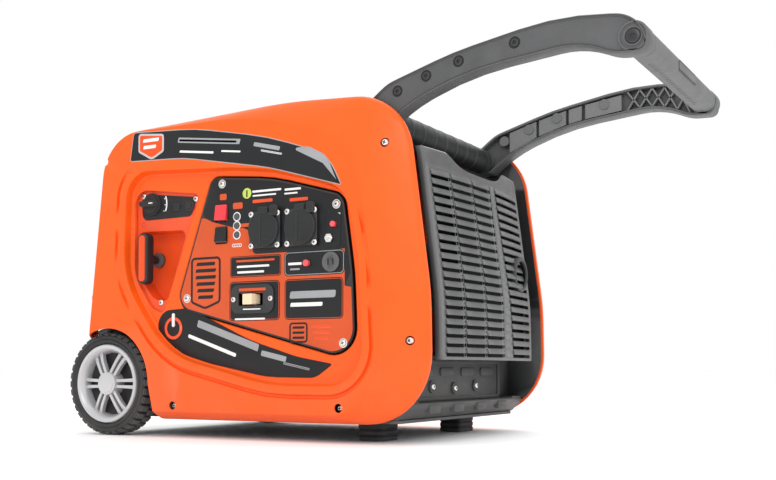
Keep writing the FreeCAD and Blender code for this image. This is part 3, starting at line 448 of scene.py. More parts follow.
# grey ink is print, and also paints the highlight near the name strip's right tip
WHITE_INK, GREY_INK_AND_GLARE, LIME = (
    material(name, colour, rough, grain=1500, bump=0.04, wear=0.0)
    for name, colour, rough in (("white_ink", (0.80, 0.80, 0.79), 0.45),
                                ("grey_ink_and_glare", (0.30, 0.31, 0.32), 0.40),
                                ("lime_ink", (0.50, 0.62, 0.10), 0.40)))
LENS = material("lamp_lens", (0.055, 0.057, 0.060), 0.16, grain=1500, bump=0.03, wear=0.0, coat=0.5)
CAST = material("cast_alloy", (0.42, 0.42, 0.42), 0.50, metal=0.9, grain=500, bump=0.5,
                mottle=0.12, soften=0.001)
SOOT = material("hot_steel", (0.10, 0.095, 0.09), 0.60, metal=0.5, grain=600, bump=0.4,
                mottle=0.25, soften=0.001)
CORD = material("braided_cord", (0.035, 0.035, 0.036), 0.75, grain=1800, bump=0.7, mottle=0.3)
BLACK_CAD = material("black_moulding", (0.015, 0.016, 0.017), 0.50, grain=1100, bump=0.35,
                     mottle=0.12, wear=0.3, soften=0.0008, sheen=0.28)
RED_CAD = material("red_moulding", (0.83, 0.035, 0.05), 0.30, grain=1500, bump=0.05, mottle=0.04,
                   soften=0.0008)

# the CAD nodes that stay in view
CAD_FINISH = {
    BLACK_CAD: ["base_tray", "handle_channel_front", "handle_channel_rear", "rope_guide",
                "air_filter_box", "recoil_housing", "starting_battery", "recoil_pulley",
                "dc_outlet", "eco_rocker"],
    RUBBER: ["engine_mounts"],
    ZINC: ["axle", "crankshaft", "earth_terminal", "spark_plug"],
    RED_CAD: ["start_rocker", "reset_button", "dc_breaker_button"],
    BEIGE: ["breaker_lever"],
    LENS: ["status_lamps"],
    CAST: ["crankcase", "cylinder_barrel", "cylinder_head", "carburettor", "inverter_module",
           "fan_rotor", "stator"],
    SOOT: ["muffler", "fuel_tank"],
}
for finish, names in CAD_FINISH.items():
    for name in names:
        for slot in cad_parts[name].material_slots:
            slot.material = finish


# ---------------------------------------------------------------- side shells
ARCH_RADIUS = 86
ARCH_TIGHTER = 5        # how much smaller the arch is towards its far end
SHELL_WALL = 2.2
# where short bridges cross the groove
BRIDGES = [(-221, 322), (-213, 252), (-184, 184), (214, 262), (217, 196), (196, 108)]


def vent_depth(spot):
    """How deep the styling groove round the recess is at a point: it fades out along
    the top and is crossed by short bridges."""
    fade = min(1.0, max(0.0, (372 - spot.y - 0.22 * max(spot.x, -190)) / 40))
    fade = fade * fade * (3 - 2 * fade)
    for u, v in BRIDGES:
        near = (spot - Vector((u, v))).length
        fade *= min(1.0, max(0.0, (near - 12) / 5))
    return 4.6 * fade


def arch_spot(radius, angle):
    """A point round the wheel's centre, from its radius and its angle in degrees."""
    angle = math.radians(angle)
    return Vector((WHEEL[0] + radius * math.cos(angle), WHEEL[1] + radius * math.sin(angle)))


def side_shell(side, name):
    """One orange side of the casing, with its edge roll, recess, vents and wheel arch."""
    piece = Sculpt(across(side))
    rim = loop(RIM, exact=(12, 16))
    flat = loop(FACE, exact=(12, 16))

    def between(share, off):
        mixed = [a.lerp(b, share) for a, b in zip(rim, flat)]
        return grown(mixed, off) if off else mixed

    turn_in = [(0, -4.5, SEAM_Y + 3), (0, -4.5, SEAM_Y + 0.3), (0, -0.6, SEAM_Y),
               (0, 0, SEAM_Y + 0.6)]
    roll = [(share, 0, depth) for share, depth in (
        (0, 203.5), (0.004, 205.2), (0.018, 206.8), (0.05, 208.6), (0.11, 210.6), (0.22, 213.4),
        (0.38, 217.0), (0.56, 220.6), (0.74, 223.8), (0.88, 226.0), (0.965, 227.3), (1, 227.75))]
    rings = [piece.ring(between(share, off), depth)
             for share, off, depth in turn_in + roll + [(1, -1.6, FACE_Y)]]
    piece.skin(rings)
    if side < 0:
        edge = loop(RECESS, run=7, turn=7)
        groove = [piece.ring(grown(edge, off), lambda p, k=k: FACE_Y - k * vent_depth(p))
                  for off, k in ((17.4, 0), (16.6, 0.14), (15.9, 0.8), (15.2, 1), (12.2, 1),
                                 (11.5, 0.8), (10.8, 0.14), (10.0, 0))]
        piece.plate(rings[-1], [groove[0]])
        piece.skin(groove)
        lip = piece.stack(edge, [(0.8, FACE_Y), (0, 227.8), (-1.0, 227.0), (-1.8, 225.4),
                                 (-3.2, 217.6), (-4.0, 215.6), (-5.4, 214.4), (-7.2, FLOOR_Y)])
        piece.skin([groove[-1], lip[0]])
        holes = []
        for corners, gap, deep in ((PANEL, 2.6, 199.0), (BEZEL, -1.6, 208.0)):
            hole = loop(corners, run=14, turn=9)
            holes.append(piece.stack(hole, [(gap + 2.0, FLOOR_Y), (gap + 1.0, 213.7), (gap, 212.6),
                                            (gap, deep)]))
        piece.plate(lip[-1], [ring[0] for ring in holes])
        piece.cap(holes[0][-1][::-1], 1)
    else:
        door = block_loop(-30, 232, 250, 210, 14, turn=9)
        hole = piece.stack(door, [(1.2, FACE_Y), (0.3, 227.7), (0, 226.8), (0, 221), (-10, 221),
                                  (-10, 201)])
        swage = block_loop(-30, 232, 290, 250, 26, turn=7)
        ridge = piece.stack(swage, [(5, FACE_Y), (4, 227.7), (3, 226.6), (-1, 226.6), (-2, 227.7),
                                    (-3, FACE_Y)])
        piece.plate(rings[-1], [ridge[0]])
        piece.plate(ridge[-1], [hole[0]])
    shell = piece.finish(name + "_shell_skin", [ORANGE, BLACK], "chassis", "orange_shell",
                         name + "_shell")
    face_outwards(shell, Vector((0, side, 0)))
    thicken(shell, SHELL_WALL, -1)
    face_outwards(shell)
    cutter = Sculpt(across(side))
    outline = [Vector((-139, 12)), Vector((-155, 79))]
    for k in range(1, 36):
        radius = ARCH_RADIUS - ARCH_TIGHTER * min(1.0, max(0.0, (k - 12) / 12))
        outline.append(arch_spot(radius, 5 * k))
    outline += [Vector((-328, 78)), Vector((-328, 12))]
    cutter.ends(cutter.stack(outline, [(0, 150), (0, 240)]))
    for x, z in SHELL_SCREWS:
        cutter.ends(cutter.lathe(x, z, [(6.2, 240), (6.2, 207.2), (2.8, 207.0), (2.8, 190)], 28))
    knife = cutter.finish("arch_cutter", [], "chassis")
    carve(shell, knife)
    even_normals(shell, 35)


def screw_wells(side, name):
    """Liners of the deep screw holes, which the shell's own bosses hold, black as painted shade."""
    piece = Sculpt(across(side))
    for x, z in SHELL_SCREWS:
        piece.lathe(x, z, [(6.15, 212), (6.15, 206.6), (5.3, 206.4)], 24)
    piece.finish("screw_wells_" + name, [BLACK], "chassis", "black_plastic")


for one_side in SIDES:
    side_shell(*one_side)
    screw_wells(*one_side)


def arch_liner(side, name):
    """The black liner inside a wheel arch, behind the tyre."""
    piece = Sculpt(across(side))
    arch = [arch_spot(ARCH_RADIUS + 1, angle) for angle in range(-28, 121, 4)]
    rings = [piece.ring(arch, depth) for depth in (207, 200, 176, 174.5)]
    piece.skin(rings, closed=False)
    inner = piece.ring([Vector(WHEEL).lerp(p, 0.35) for p in arch], 174.5)
    piece.skin([rings[-1], inner], closed=False)
    piece.finish("arch_liner_" + name, [BLACK], "chassis", "black_plastic")


for one_side in SIDES:
    arch_liner(*one_side)


# ---------------------------------------------------------------- control panel
PANEL_FACE = 216.5
SOCKETS = [(49, 295), (110, 295)]
ROCKERS = [(-29, 324), (-29, 292)]
LAMPS = [(-1.5, 291), (-1.5, 304), (-1.5, 317)]
ROUND_HOLES = [(161, 296, 4.6), (118, 245, 5.1), (155, 277, 4.2)]
DC_OUTLET = (157, 245)
BREAKER = (27, 198.5)
PANEL_SCREWS = [(-28, 366), (165, 323), (-91, 203), (176, 135)]


def panel_holes():
    """Outlines of everything that the panel plate makes room for."""
    holes = [block_loop(x, z, 43, 43, 20) for x, z in SOCKETS]
    holes += [block_loop(x, z, 21.8, 25, 1.5, turn=30) for x, z in ROCKERS]
    holes += [oval(x, z, 5.0, 20) for x, z in LAMPS]
    holes += [oval(x, z, r, 20) for x, z, r in ROUND_HOLES]
    holes += [oval(DC_OUTLET[0], DC_OUTLET[1], 11, 24), block_loop(BREAKER[0], BREAKER[1], 56, 30,
                                                                   3, turn=30)]
    return holes


def pierced(piece, outline, holes, low, high, mat=0, bevel=0.5):
    """A plate with holes right through it; only its front and its edges are made."""
    outer = piece.stack(outline, [(0, low), (0, high - bevel), (-0.3 * bevel, high - 0.3 * bevel),
                                  (-bevel, high)], mat)
    rims = []
    for hole in holes:
        walls = piece.stack(hole, [(0.25 * bevel, high), (0, high - 0.25 * bevel), (0, low)], mat)
        rims.append(walls[0])
    piece.plate(outer[-1], rims, mat)


def centre_of(points):
    """The middle of a closed loop."""
    return sum(points, Vector((0, 0))) / len(points)


def holds(outline, spot):
    """Whether a spot lies inside a closed loop."""
    inside = False
    for a, b in zip(outline, outline[1:] + outline[:1]):
        if (a.y > spot.y) != (b.y > spot.y):
            if spot.x < (b.x - a.x) * (spot.y - a.y) / (b.y - a.y) + a.x:
                inside = not inside
    return inside


def split_film():
    """The film's black upper part and orange lower part, either side of one line."""
    line = [Vector(p) for p in ((-66, 320.5), (-58, 318), (-45, 312), (-12, 303), (10, 300),
                                (17, 297), (22, 291), (25, 283), (26, 272), (27, 265), (31, 262),
                                (178, 262), (178, 212), (190, 210))]

    def upper(p):
        if p.x > 178:
            return p.y > 210
        return p.y > (320.5 if p.x < -60 else 262)

    ring = grown(loop(PANEL, run=7, turn=7), -2.6)
    start = next(i for i in range(len(ring)) if upper(ring[i]) and not upper(ring[i - 1]))
    ring = ring[start:] + ring[:start]
    count = sum(upper(p) for p in ring)
    top = ring[:count]
    rest = ring[count:]
    rightwards = top[0].x < top[-1].x
    inner = line[1:-1]
    dark = top + (inner[::-1] if rightwards else inner)
    light = rest + (inner if rightwards else inner[::-1])
    return dark, light


def control_panel():
    """The panel plate and its printed film: black above, orange below, with boxes."""
    plate = Sculpt()
    holes = panel_holes()
    pierced(plate, loop(PANEL, run=9, turn=7), holes, 213.9, PANEL_FACE - 0.2, bevel=0.9)
    plate.finish("control_panel_plate", [BLACK], "chassis", "panel_face", "control_panel")
    film = Sculpt()
    for mat, region in enumerate(split_film()):
        inside = [hole for hole in holes if holds(region, centre_of(hole))]
        pierced(film, region, inside, PANEL_FACE - 0.25, PANEL_FACE, mat, 0.12)
    boxes = [(31, 245, 88, 30, 4), (129, 245, 98, 34, 7), (29.5, 196, 87, 56, 6),
             (128.5, 196, 95, 56, 6)]
    for x, z, wide, high, radius in boxes:
        box = block_loop(x, z, wide, high, radius, turn=18)
        inside = [hole for hole in holes if holds(box, centre_of(hole))]
        pierced(film, box, inside, PANEL_FACE - 0.05, PANEL_FACE + 0.15, 0, 0.1)
    film.finish("control_panel_film", [FILM_BLACK, FILM_ORANGE], "chassis", "panel_face")


def film_marks():
    """Plain printed marks on the film: frames, rings and bars, with no lettering."""
    marks = Sculpt()
    white, grey, orange, lime, black, deep = range(6)
    boxed = PANEL_FACE + 0.15

    def frame_of(x, z, wide, high, radius, line, mat, base=PANEL_FACE):
        outer = block_loop(x, z, wide, high, radius, turn=15)
        pierced(marks, outer, [grown(outer, -line)], base, base + 0.3, mat, 0.08)

    def bar(x, z, wide, high, mat, lean=0.0, base=PANEL_FACE):
        points = block_loop(x, z, wide, high, min(wide, high) * 0.25, turn=30)
        marks.solid([Vector((p.x + lean * (p.y - z), p.y)) for p in points], base, base + 0.28,
                    0.08, mat)

    def disc(x, z, radius, mat, base=PANEL_FACE, hole=0.0):
        outer = oval(x, z, radius, 28)
        if hole:
            pierced(marks, outer, [oval(x, z, hole, 24)], base, base + 0.28, mat, 0.08)
        else:
            marks.solid(outer, base, base + 0.28, 0.08, mat)

    frame_of(129, 245, 95.5, 31.5, 6, 0.9, grey)
    for box in ((31, 245, 86, 28, 3.5), (29.5, 196, 84.5, 53.5, 5), (128.5, 196, 92.5, 53.5, 5)):
        frame_of(*box, 0.7, orange, PANEL_FACE + 0.1)
    for x, z in LAMPS:
        disc(x, z, 6.6, white, hole=5.0)
    for x in (-10.5, -4, 4, 10.5):
        disc(x * 0.55 - 1.2, 276, 2.6, white, hole=1.7)
    disc(16, 349, 7.6, lime)
    bar(16, 349, 2.2, 9, black, base=PANEL_FACE + 0.2)
    bar(16, 344.4, 2.4, 1.6, black, base=PANEL_FACE + 0.2)
    for spec in ((0, 332.5, 17, 9, orange), (-26, 347, 12, 9, orange), (13.5, 304, 17, 5, orange),
                 (161, 309, 20, 4, white), (50, 350.5, 49, 3, white), (46, 344.5, 40, 2.2, white),
                 (94, 349, 27, 3, white), (91, 343.4, 22, 2.2, white), (43, 336.5, 34, 4.6, deep),
                 (104, 334, 30, 4.6, deep)):
        bar(*spec)
    for k in range(3):
        bar(31 - 4 * k, 253 - 8 * k, 66 - 10 * k, 3.0, white if k else orange, base=boxed)
    for spec in ((22, 170.6, 52, 2.6, white), (29, 208.6, 46, 3.6, orange),
                 (127, 202, 74, 10, grey, 0.15), (117, 188.5, 52, 5.4, white, 0.15),
                 (98, 245, 22, 3.4, white), (98, 237.5, 16, 2.4, grey)):
        bar(*spec, base=boxed)
    badge = loop([(-84, 262, 7), (-30, 262, 7), (-30, 196, 7), (-58, 186, 14), (-84, 196, 7)],
                 run=14, turn=12)
    pierced(marks, badge, [grown(badge, -3.2)], PANEL_FACE, PANEL_FACE + 0.3, black, 0.1)
    for k in range(6):
        wide = 38 - 3.2 * abs(k - 1.5)
        bar(-57, 252 - 9.6 * k, wide, 5.0, black, 0.3)
    pod = block_loop(159.5, 288, 25, 46, 6, turn=15)
    pod_holes = [oval(161, 296, 5.2, 20), oval(155, 277, 6.8, 20)]
    pierced(marks, pod, pod_holes, PANEL_FACE, PANEL_FACE + 0.8, black, 0.35)
    emblem = block_loop(104, 150, 30, 28, 5, turn=15)
    pierced(marks, emblem, [grown(emblem, -2.4)], PANEL_FACE, PANEL_FACE + 0.3, black, 0.1)
    for k in range(3):
        bar(104, 157 - 7 * k, 19, 3.2, black, 0.3)
        bar(141, 158 - 8 * k, 32 - 5 * k, 4.0, deep, 0.15)
    marks.finish("film_marks", [WHITE_INK, GREY_INK_AND_GLARE, FILM_ORANGE, LIME, FILM_BLACK, DEEP_ORANGE_INK_AND_SHADE],
                 "chassis", "panel_face")


control_panel()
film_marks()


# ---------------------------------------------------------------- outlets and lids
LID_SEAT = 222.3
LID_FACE = 225.6


def outlet_lids():
    """Round spring lids with a rolled edge, a raised seam, grip ribs and hinge lumps."""
    for name, (x, z) in zip(("left", "right"), SOCKETS):
        piece = Sculpt()
        disc = oval(x, z, 25, 56)
        piece.solid(disc, LID_SEAT, LID_FACE, 1.3)
        piece.stack(oval(x, z, 21.6, 48), [(0.6, LID_FACE), (0, LID_FACE - 0.4),
                                           (-0.8, LID_FACE - 0.4), (-1.4, LID_FACE)])
        piece.solid(block_loop(x - 4, z, 2.2, 40, 1.0), 225.4, 226.4, 0.5)
        piece.solid(block_loop(x, z + 27, 16, 9, 2), LID_SEAT, 226.2, 0.9)
        piece.solid(block_loop(x + 18, z + 25.5, 12, 15, 3.5), LID_SEAT, 227.4, 1.4)
        for k in range(3):
            piece.solid(block_loop(x + 6, z - 15 - 2.6 * k, 12, 1.3, 0.6), 225.5, 226.3, 0.3)
        piece.finish("outlet_lid_%s_moulding" % name, [BLACK], "lid_" + name, "black_plastic",
                     "outlet_lid_" + name)
        heads = Sculpt()
        for dx in (-22.25, 22.25):
            for dz in (-22.25, 22.25):
                cross_screw(heads, x + dx, z + dz, 4.3, 220.4, 2.4)
        heads.finish("outlet_screws_" + name, [ZINC, BLACK], "chassis", "zinc")


def cross_screw(piece, x, z, radius, seat, high, mat=0, dark=1, turn=0.4):
    """A pan head with a cross recess, seen from the front."""
    rim = oval(x, z, radius, 24)
    rings = piece.stack(rim, [(-off * radius, seat + share * high) for off, share in (
        (0, 0), (0, 0.45), (0.12, 0.78), (0.32, 0.95), (0.55, 1))], mat)
    piece.cap(rings[-1], mat)
    for angle in (turn, turn + math.pi / 2):
        slot = turned(block_loop(x, z, radius * 0.95, radius * 0.24, radius * 0.08, turn=45), angle,
                      x, z)
        piece.solid(slot, seat + high * 0.9, seat + high + 0.06, 0.03, dark)


outlet_lids()


# ---------------------------------------------------------------- recoil side
BEZEL_FACE = 207
POCKET_FLOOR = 185
KNOB = (-165, 347)
GRIP = (-170, 265)
BEZEL_SCREWS = [(-183, 361), (-83, 350), (-148, 199)]


def recoil_bezel():
    """The recessed bezel: its rolled pocket, the dark knob plate and the small fittings."""
    piece = Sculpt()
    plate = grown(loop(BEZEL, run=8, turn=8), 1.6)
    pocket = loop(POCKET, run=8, turn=8)
    outer = piece.stack(plate, [(0.4, 205), (0.4, 206.6), (0, BEZEL_FACE)])
    walls = piece.stack(pocket, [(1.2, BEZEL_FACE), (0.4, 206.7), (0, 206.0), (-0.8, 188.5),
                                 (-1.8, 186.2), (-4.2, 185.2), (-6, POCKET_FLOOR)])
    piece.plate(outer[-1], [walls[0]])
    hole = piece.stack(oval(GRIP[0], GRIP[1], 8, 28), [(0.8, POCKET_FLOOR), (0, 184.2), (0, 180)])
    piece.plate(walls[-1], [hole[0]])
    piece.cap(hole[-1], 1)
    # painted shade: the bezel takes a darker copy of the shell's orange for the shade in the recess
    piece.finish("recoil_bezel_moulding", [DEEP_ORANGE_INK_AND_SHADE, BLACK], "chassis", "orange_shell",
                 "recoil_bezel")
    parts = Sculpt()
    board = loop([(-188, 365, 12), (-80, 352.5, 8), (-92, 325, 8), (-184, 324, 10)], run=10,
                 turn=12)
    parts.solid(board, 206.9, 208.3, 0.6, 0)
    parts.solid(block_loop(-118, 340, 12, 11, 2.5), 208.2, 210.4, 0.7, 0)
    parts.solid(oval(-93, 340, 8, 28), 208.2, 212.0, 1.2, 0)
    parts.solid(oval(-93, 340, 4.6, 22), 211.9, 214.0, 0.8, 0)
    parts.stack(oval(-183, 318, 3, 18), [(0.6, 207.2), (0, 206.9), (0, 205.0)], 0)
    for k in range(9):
        angle = math.radians(150 - 22 * k)
        spot = (KNOB[0] + 24.5 * math.cos(angle), KNOB[1] + 24.5 * math.sin(angle))
        if 328 < spot[1] < 362 and -186 < spot[0] < -136:
            parts.solid(oval(spot[0], spot[1], 1.0, 12), 208.2, 208.6, 0.15, 1)
    arc = [Vector((KNOB[0] + r * math.cos(math.radians(a)),
                   KNOB[1] + r * math.sin(math.radians(a)))) for r,
           sweep in ((28.5, range(-24, 25, 6)), (26.3, range(24, -25, -6))) for a in sweep]
    parts.solid(arc, 208.2, 208.6, 0.15, 1)
    parts.finish("bezel_fittings", [BLACK, WHITE_INK], "chassis", "black_plastic")
    heads = Sculpt()
    for x, z in BEZEL_SCREWS:
        cross_screw(heads, x, z, 4.6, BEZEL_FACE, 2.4)
    for x, z in PANEL_SCREWS:
        heads.stack(oval(x, z, 6.4, 28), [(0, 216.4), (0, 216.9), (-1.4, 217.1)], 0)
        cross_screw(heads, x, z, 4.6, 216.6, 2.4)
    heads.finish("panel_screw_heads", [ZINC, BLACK], "chassis", "zinc", "panel_screws")


def mode_knob():
    """A turned knob: knurled skirt, stepped disc and a raised finger bar with a mark."""
    piece = Sculpt()
    x, z = KNOB
    piece.solid(fluted(x, z, [16.2, 17] * 36), 207.4, 212.8, 1.0)
    piece.solid(oval(x, z, 13.6, 48), 212.6, 215.8, 1.2)
    bar = block_loop(x, z, 29, 8.6, 4.0, turn=12)
    piece.solid(bar, 212.6, 223.8, 1.6)
    piece.solid(block_loop(x + 9, z, 8, 1.6, 0.5), 223.7, 224.0, 0.1, 1)
    piece.finish("mode_knob_moulding", [BLACK, WHITE_INK], "knob", "black_plastic", "mode_knob")


def recoil_grip():
    """The pull grip: a rounded bar with a bright inlay, held by its stem."""
    piece = Sculpt()
    x, z = GRIP
    bar = block_loop(x, z, 20, 77, 9, turn=9)
    rings = piece.stack(bar, [(-3.2, 209.5), (-1.2, 210.0), (-0.3, 211.6), (0, 214), (0, 220.5),
                              (-0.6, 223.4), (-1.8, 225.4), (-3.2, 226.4)])
    piece.cap(rings[0])
    inlay = piece.stack(bar, [(-3.2, 226.4), (-3.6, 226.1), (-4.0, 226.1)])
    face = piece.stack(bar, [(-4.0, 226.1), (-4.3, 226.6), (-5.0, 226.95)], 1)
    piece.cap(face[-1], 1)
    piece.skin([rings[-1], inlay[0]])
    stem = piece.lathe(x, z, [(9.2, 210.2), (7.6, 209.0), (7.4, 203), (6.2, 202.4), (6.0, 197),
                              (5.0, 193.0), (3.0, 192.7)], 28)
    piece.cap(stem[-1])
    piece.finish("recoil_grip_moulding", [BLACK, DEEP_ORANGE_INK_AND_SHADE], "pull_grip", "black_plastic",
                 "recoil_grip")
    guide = Sculpt()
    guide.lathe(x, z, [(7.7, 184), (11, 185.1), (11, 188.8), (10.2, 190.4), (8.4, 191.0),
                       (7.8, 190.2), (6.9, 188.0), (6.6, 180)], 32)
    guide.finish("rope_guide_collar", [BLACK], "chassis", "black_plastic")


def pull_rope():
    """The twisted rope from the pulley to the grip, which on the machine pays out with the grip;
    here it is one fixed piece, tied to no body.
    """
    x, z = GRIP
    piece = Sculpt()
    near, far, steps, sides = 14.0, 198.0, 84, 18
    rings = []
    for k in range(steps + 1):
        twist = k * 0.62
        turns = [t * math.tau / sides for t in range(sides)]
        strands = [(a, 1.86 + 0.16 * math.cos(3 * a + twist)) for a in turns]
        rings.append(piece.ring([Vector((x + r * math.cos(a), z + r * math.sin(a))) for a,
                                 r in strands], near + (far - near) * k / steps))
    piece.skin(rings)
    piece.ends(rings)
    rope = piece.finish("twisted_pull_rope", [CORD], None, "rope_cord", "recoil_rope", smooth=60)
    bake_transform(rope)


recoil_bezel()
mode_knob()
recoil_grip()
pull_rope()


# ---------------------------------------------------------------- name strip and inlay
def name_strip():
    """The dark strip above the controls, with a silver edge, plain bars, a plain badge and a
    painted highlight.
    It is thin: its depths shrink towards the casing's face."""
    flat = across()
    black, silver, white, orange, grey = range(5)
    piece = Sculpt(lambda u, v, depth: flat(u, v, 227.75 + 0.3 * (depth - 227.9)))
    strip = loop(STRIP, run=9, turn=8)
    piece.solid(strip, 227.9, 229.4, 0.7, grey)
    inner = grown(strip, -1.3)
    piece.solid(inner, 229.2, 229.9, 0.3, black)
    for x, z, wide, high, mat in ((
            (-44, 428, 112, 7.4, grey), (-46, 428, 104, 3.2, white), (-66, 414, 62, 3.0, white),
            (-4, 409, 34, 2.4, white), (58, 410, 44, 5.4, grey), (66, 401, 36, 2.2, white))):
        lean = -0.12 if x < 0 else -0.24
        points = [Vector((p.x + 0.3 * (p.y - z), p.y + lean * (p.x - x)))
                  for p in block_loop(x, z, wide, high, 1.2, turn=30)]
        piece.solid(points, 229.8, 230.15, 0.12, mat)
    # painted highlight: a grey patch near the strip's right tip stands for glare
    glare = loop([(96, 404, 3), (150, 377, 3), (176, 347.5, 0.8), (158, 388, 30), (128, 404, 20)],
                 run=8, turn=12)
    piece.solid(grown(glare, -1.0), 229.8, 230.1, 0.12, grey)
    badge = loop([(-176, 452, 5), (-127, 447, 5), (-127, 421, 5), (-150, 410, 12), (-176, 424, 5)],
                 run=9, turn=12)
    piece.solid(badge, 229.6, 230.6, 0.4, silver)
    piece.solid(grown(badge, -3.0), 230.4, 231.0, 0.25, orange)
    for k in range(2):
        points = block_loop(-151.5, 440 - 10 * k, 30 - 6 * k, 5, 1.2, turn=30)
        points = [Vector((p.x + 0.25 * (p.y - 440), p.y)) for p in points]
        piece.solid(points, 230.8, 231.3, 0.12, white)
    piece.finish("name_strip", [FILM_BLACK, SILVER, WHITE_INK, DEEP_ORANGE_INK_AND_SHADE, GREY_INK_AND_GLARE], "chassis",
                 "panel_face")


def swoosh_inlay():
    """The dark inlay below the panel, with a power mark and plain stripes."""
    piece = Sculpt()
    piece.solid(loop(SWOOSH, run=8, turn=8), 213.9, 215.2, 0.6, 0)
    ring = oval(-117, 160, 16.5, 40)
    pierced(piece, ring, [oval(-117, 160, 12, 36)], 215.1, 216.2, 1, 0.4)
    piece.solid(block_loop(-117, 172, 5.0, 20, 2.2), 215.1, 216.8, 0.4, 2)
    for x, z, wide, high, lean, mat in ((-18, 148, 108, 10, -0.34, 3),
                                        (-46, 134, 86, 5.0, -0.34, 2), (62, 118, 42, 7.5, -0.22, 3),
                                        (100, 104, 44, 3.0, -0.2, 3)):
        points = [Vector((p.x + 0.25 * (p.y - z), p.y + lean * (p.x - x)))
                  for p in block_loop(x, z, wide, high, 1.6, turn=30)]
        piece.solid(points, 215.1, 215.6, 0.15, mat)
    piece.finish("power_inlay", [FILM_BLACK, DEEP_ORANGE_INK_AND_SHADE, WHITE_INK, GREY_INK_AND_GLARE], "chassis",
                 "panel_face")


name_strip()
swoosh_inlay()


# ---------------------------------------------------------------- exhaust end
PANEL_HALF = 161.5      # half the width of the grille
PANEL_FOOT = 112.5
GRILLE_WALL = 1.2
LOUVRE_FIRST = 122.0
LOUVRE_PITCH = 12.8
LOUVRE_ROWS = 20
ROW_BELOW = 5.0         # a row of louvres reaches this far below and above its height
ROW_ABOVE = 7.8
OUTLET = (112, 246)


def height_lookup(corners):
    """A function from height to the outline's furthest reach along the machine."""
    points = [p for p in loop(corners, run=6, turn=3) if p.x > 150]
    points.sort(key=lambda p: p.y)

    def reach(z):
        for a, b in zip(points, points[1:]):
            if a.y <= z <= b.y and b.x > 150:
                share = (z - a.y) / max(1e-6, b.y - a.y)
                return a.x + (b.x - a.x) * share
        return points[-1].x if z > points[-1].y else points[0].x
    return reach


END_CURVE = height_lookup(RIM)
INTAKE_CURVE = height_lookup([(-u, v, radius) for u, v, radius in RIM])


def bow(y, z, off=0.0):
    """A point on the bowed grille surface, pushed outwards by off."""
    swell = 12 * (1 - (y / PANEL_HALF) ** 2) - 6.0
    return at(END_CURVE(z) + swell + off, y, z)


def rib_edge(z):
    """The two sides of the smooth rib that crosses the louvres."""
    share = (400 - z) / 288
    return 28 - 2 * share, 45 + 17 * share * share


def grille():
    """The bowed exhaust panel: embossed louvres, open slots, a smooth rib and top band."""
    piece = Sculpt(bow)
    rows = [LOUVRE_FIRST + k * LOUVRE_PITCH for k in range(LOUVRE_ROWS)]

    def louvre(low, high, z, closed):
        """One slat: its lip stands out over the slot below it."""
        count = max(2, round((high - low) / 9))
        ys = [low + (high - low) * k / count for k in range(count + 1)]
        lines = [(z + 7.6, 0.0), (z + 6.4, 0.9), (z + 2.0, 2.6), (z + 0.4, 2.2), (z + 0.2, 0.2)]
        if closed:
            lines += [(z - 0.6, -0.9), (z - 3.6, -1.1), (z - 5.0, -0.2)]
        else:
            lines += [(z + 0.4, -1.6)]
        rings = [[piece.bm.verts.new(bow(y, height, off)) for y in ys] for height, off in lines]
        piece.skin(rings[:5], 0, closed=False)
        # painted shade: the slat's underside and the slot below it take near-black
        piece.skin(rings[4:], 1, closed=False)
        for side in (0, -1):
            piece.face([ring[side] for ring in rings], 0)

    def panel(y0, y1, z0, z1, off=0.0):
        """A stretch of the smooth panel surface."""
        wide_steps = max(1, round((y1 - y0) / 10))
        up_steps = max(1, round((z1 - z0) / 9))
        piece.sheet([[bow(y0 + (y1 - y0) * a / wide_steps, z0 + (z1 - z0) * b / up_steps, off)
                      for a in range(wide_steps + 1)] for b in range(up_steps + 1)])

    for z in rows:
        left, right = rib_edge(z)
        opened = z >= 238
        louvre(-150, -105.5, z, not opened)
        louvre(-98.5, -43.5, z, True)
        louvre(-36.5, 18.5, z, True)
        louvre(right + 1.5, 150, z, False)
        for low, high in ((-PANEL_HALF, -150), (150, PANEL_HALF), (left, right)):
            panel(low, high, z - ROW_BELOW, z + ROW_ABOVE)
    for z in rows:
        for low in (-105.5, -43.5):
            panel(low, low + 0.5, z - ROW_BELOW, z + ROW_ABOVE)
            panel(low + 6.5, low + 7.0, z - ROW_BELOW, z + ROW_ABOVE)
        panel(18.5, 19.6, z - ROW_BELOW, z + ROW_ABOVE)
        for middle in (-102, -40, 23.5):
            panel(middle - 3.1, middle + 3.1, z + 5.4, z + ROW_ABOVE, -0.2)
            panel(middle - 3.1, middle + 3.1, z - ROW_BELOW, z - 4.0, -0.2)
    panel(-PANEL_HALF, PANEL_HALF, PANEL_FOOT, rows[0] - ROW_BELOW)
    ys = [-PANEL_HALF + 2 * PANEL_HALF * k / 32 for k in range(33)]
    crest = [(y, 402.5 - 20 * max(0.0, 1 - (y / 96) ** 4)) for y in ys]
    foot = [(y, rows[-1] + ROW_ABOVE) for y in ys]
    piece.sheet([[bow(a[0], a[1] + (b[1] - a[1]) * share, off) for a, b in zip(foot, crest)]
                 for share, off in ((0, 0), (0.33, 0), (0.66, 0), (0.93, 0), (1, -1.4))])
    for side in (-1, 1):
        piece.sheet([[bow(side * y, PANEL_FOOT + 290 * k / 30, off) for k in range(31)] for y,
                     off in ((PANEL_HALF, 0), (PANEL_HALF + 0.7, -2.5), (PANEL_HALF + 0.7, -9))])
    made = piece.finish("exhaust_grille", [GREY, SHADE_AND_SCREEN_BLACK], "chassis", "grey_plastic",
                        "exhaust_end_panel", smooth=28)
    thicken(made, GRILLE_WALL)


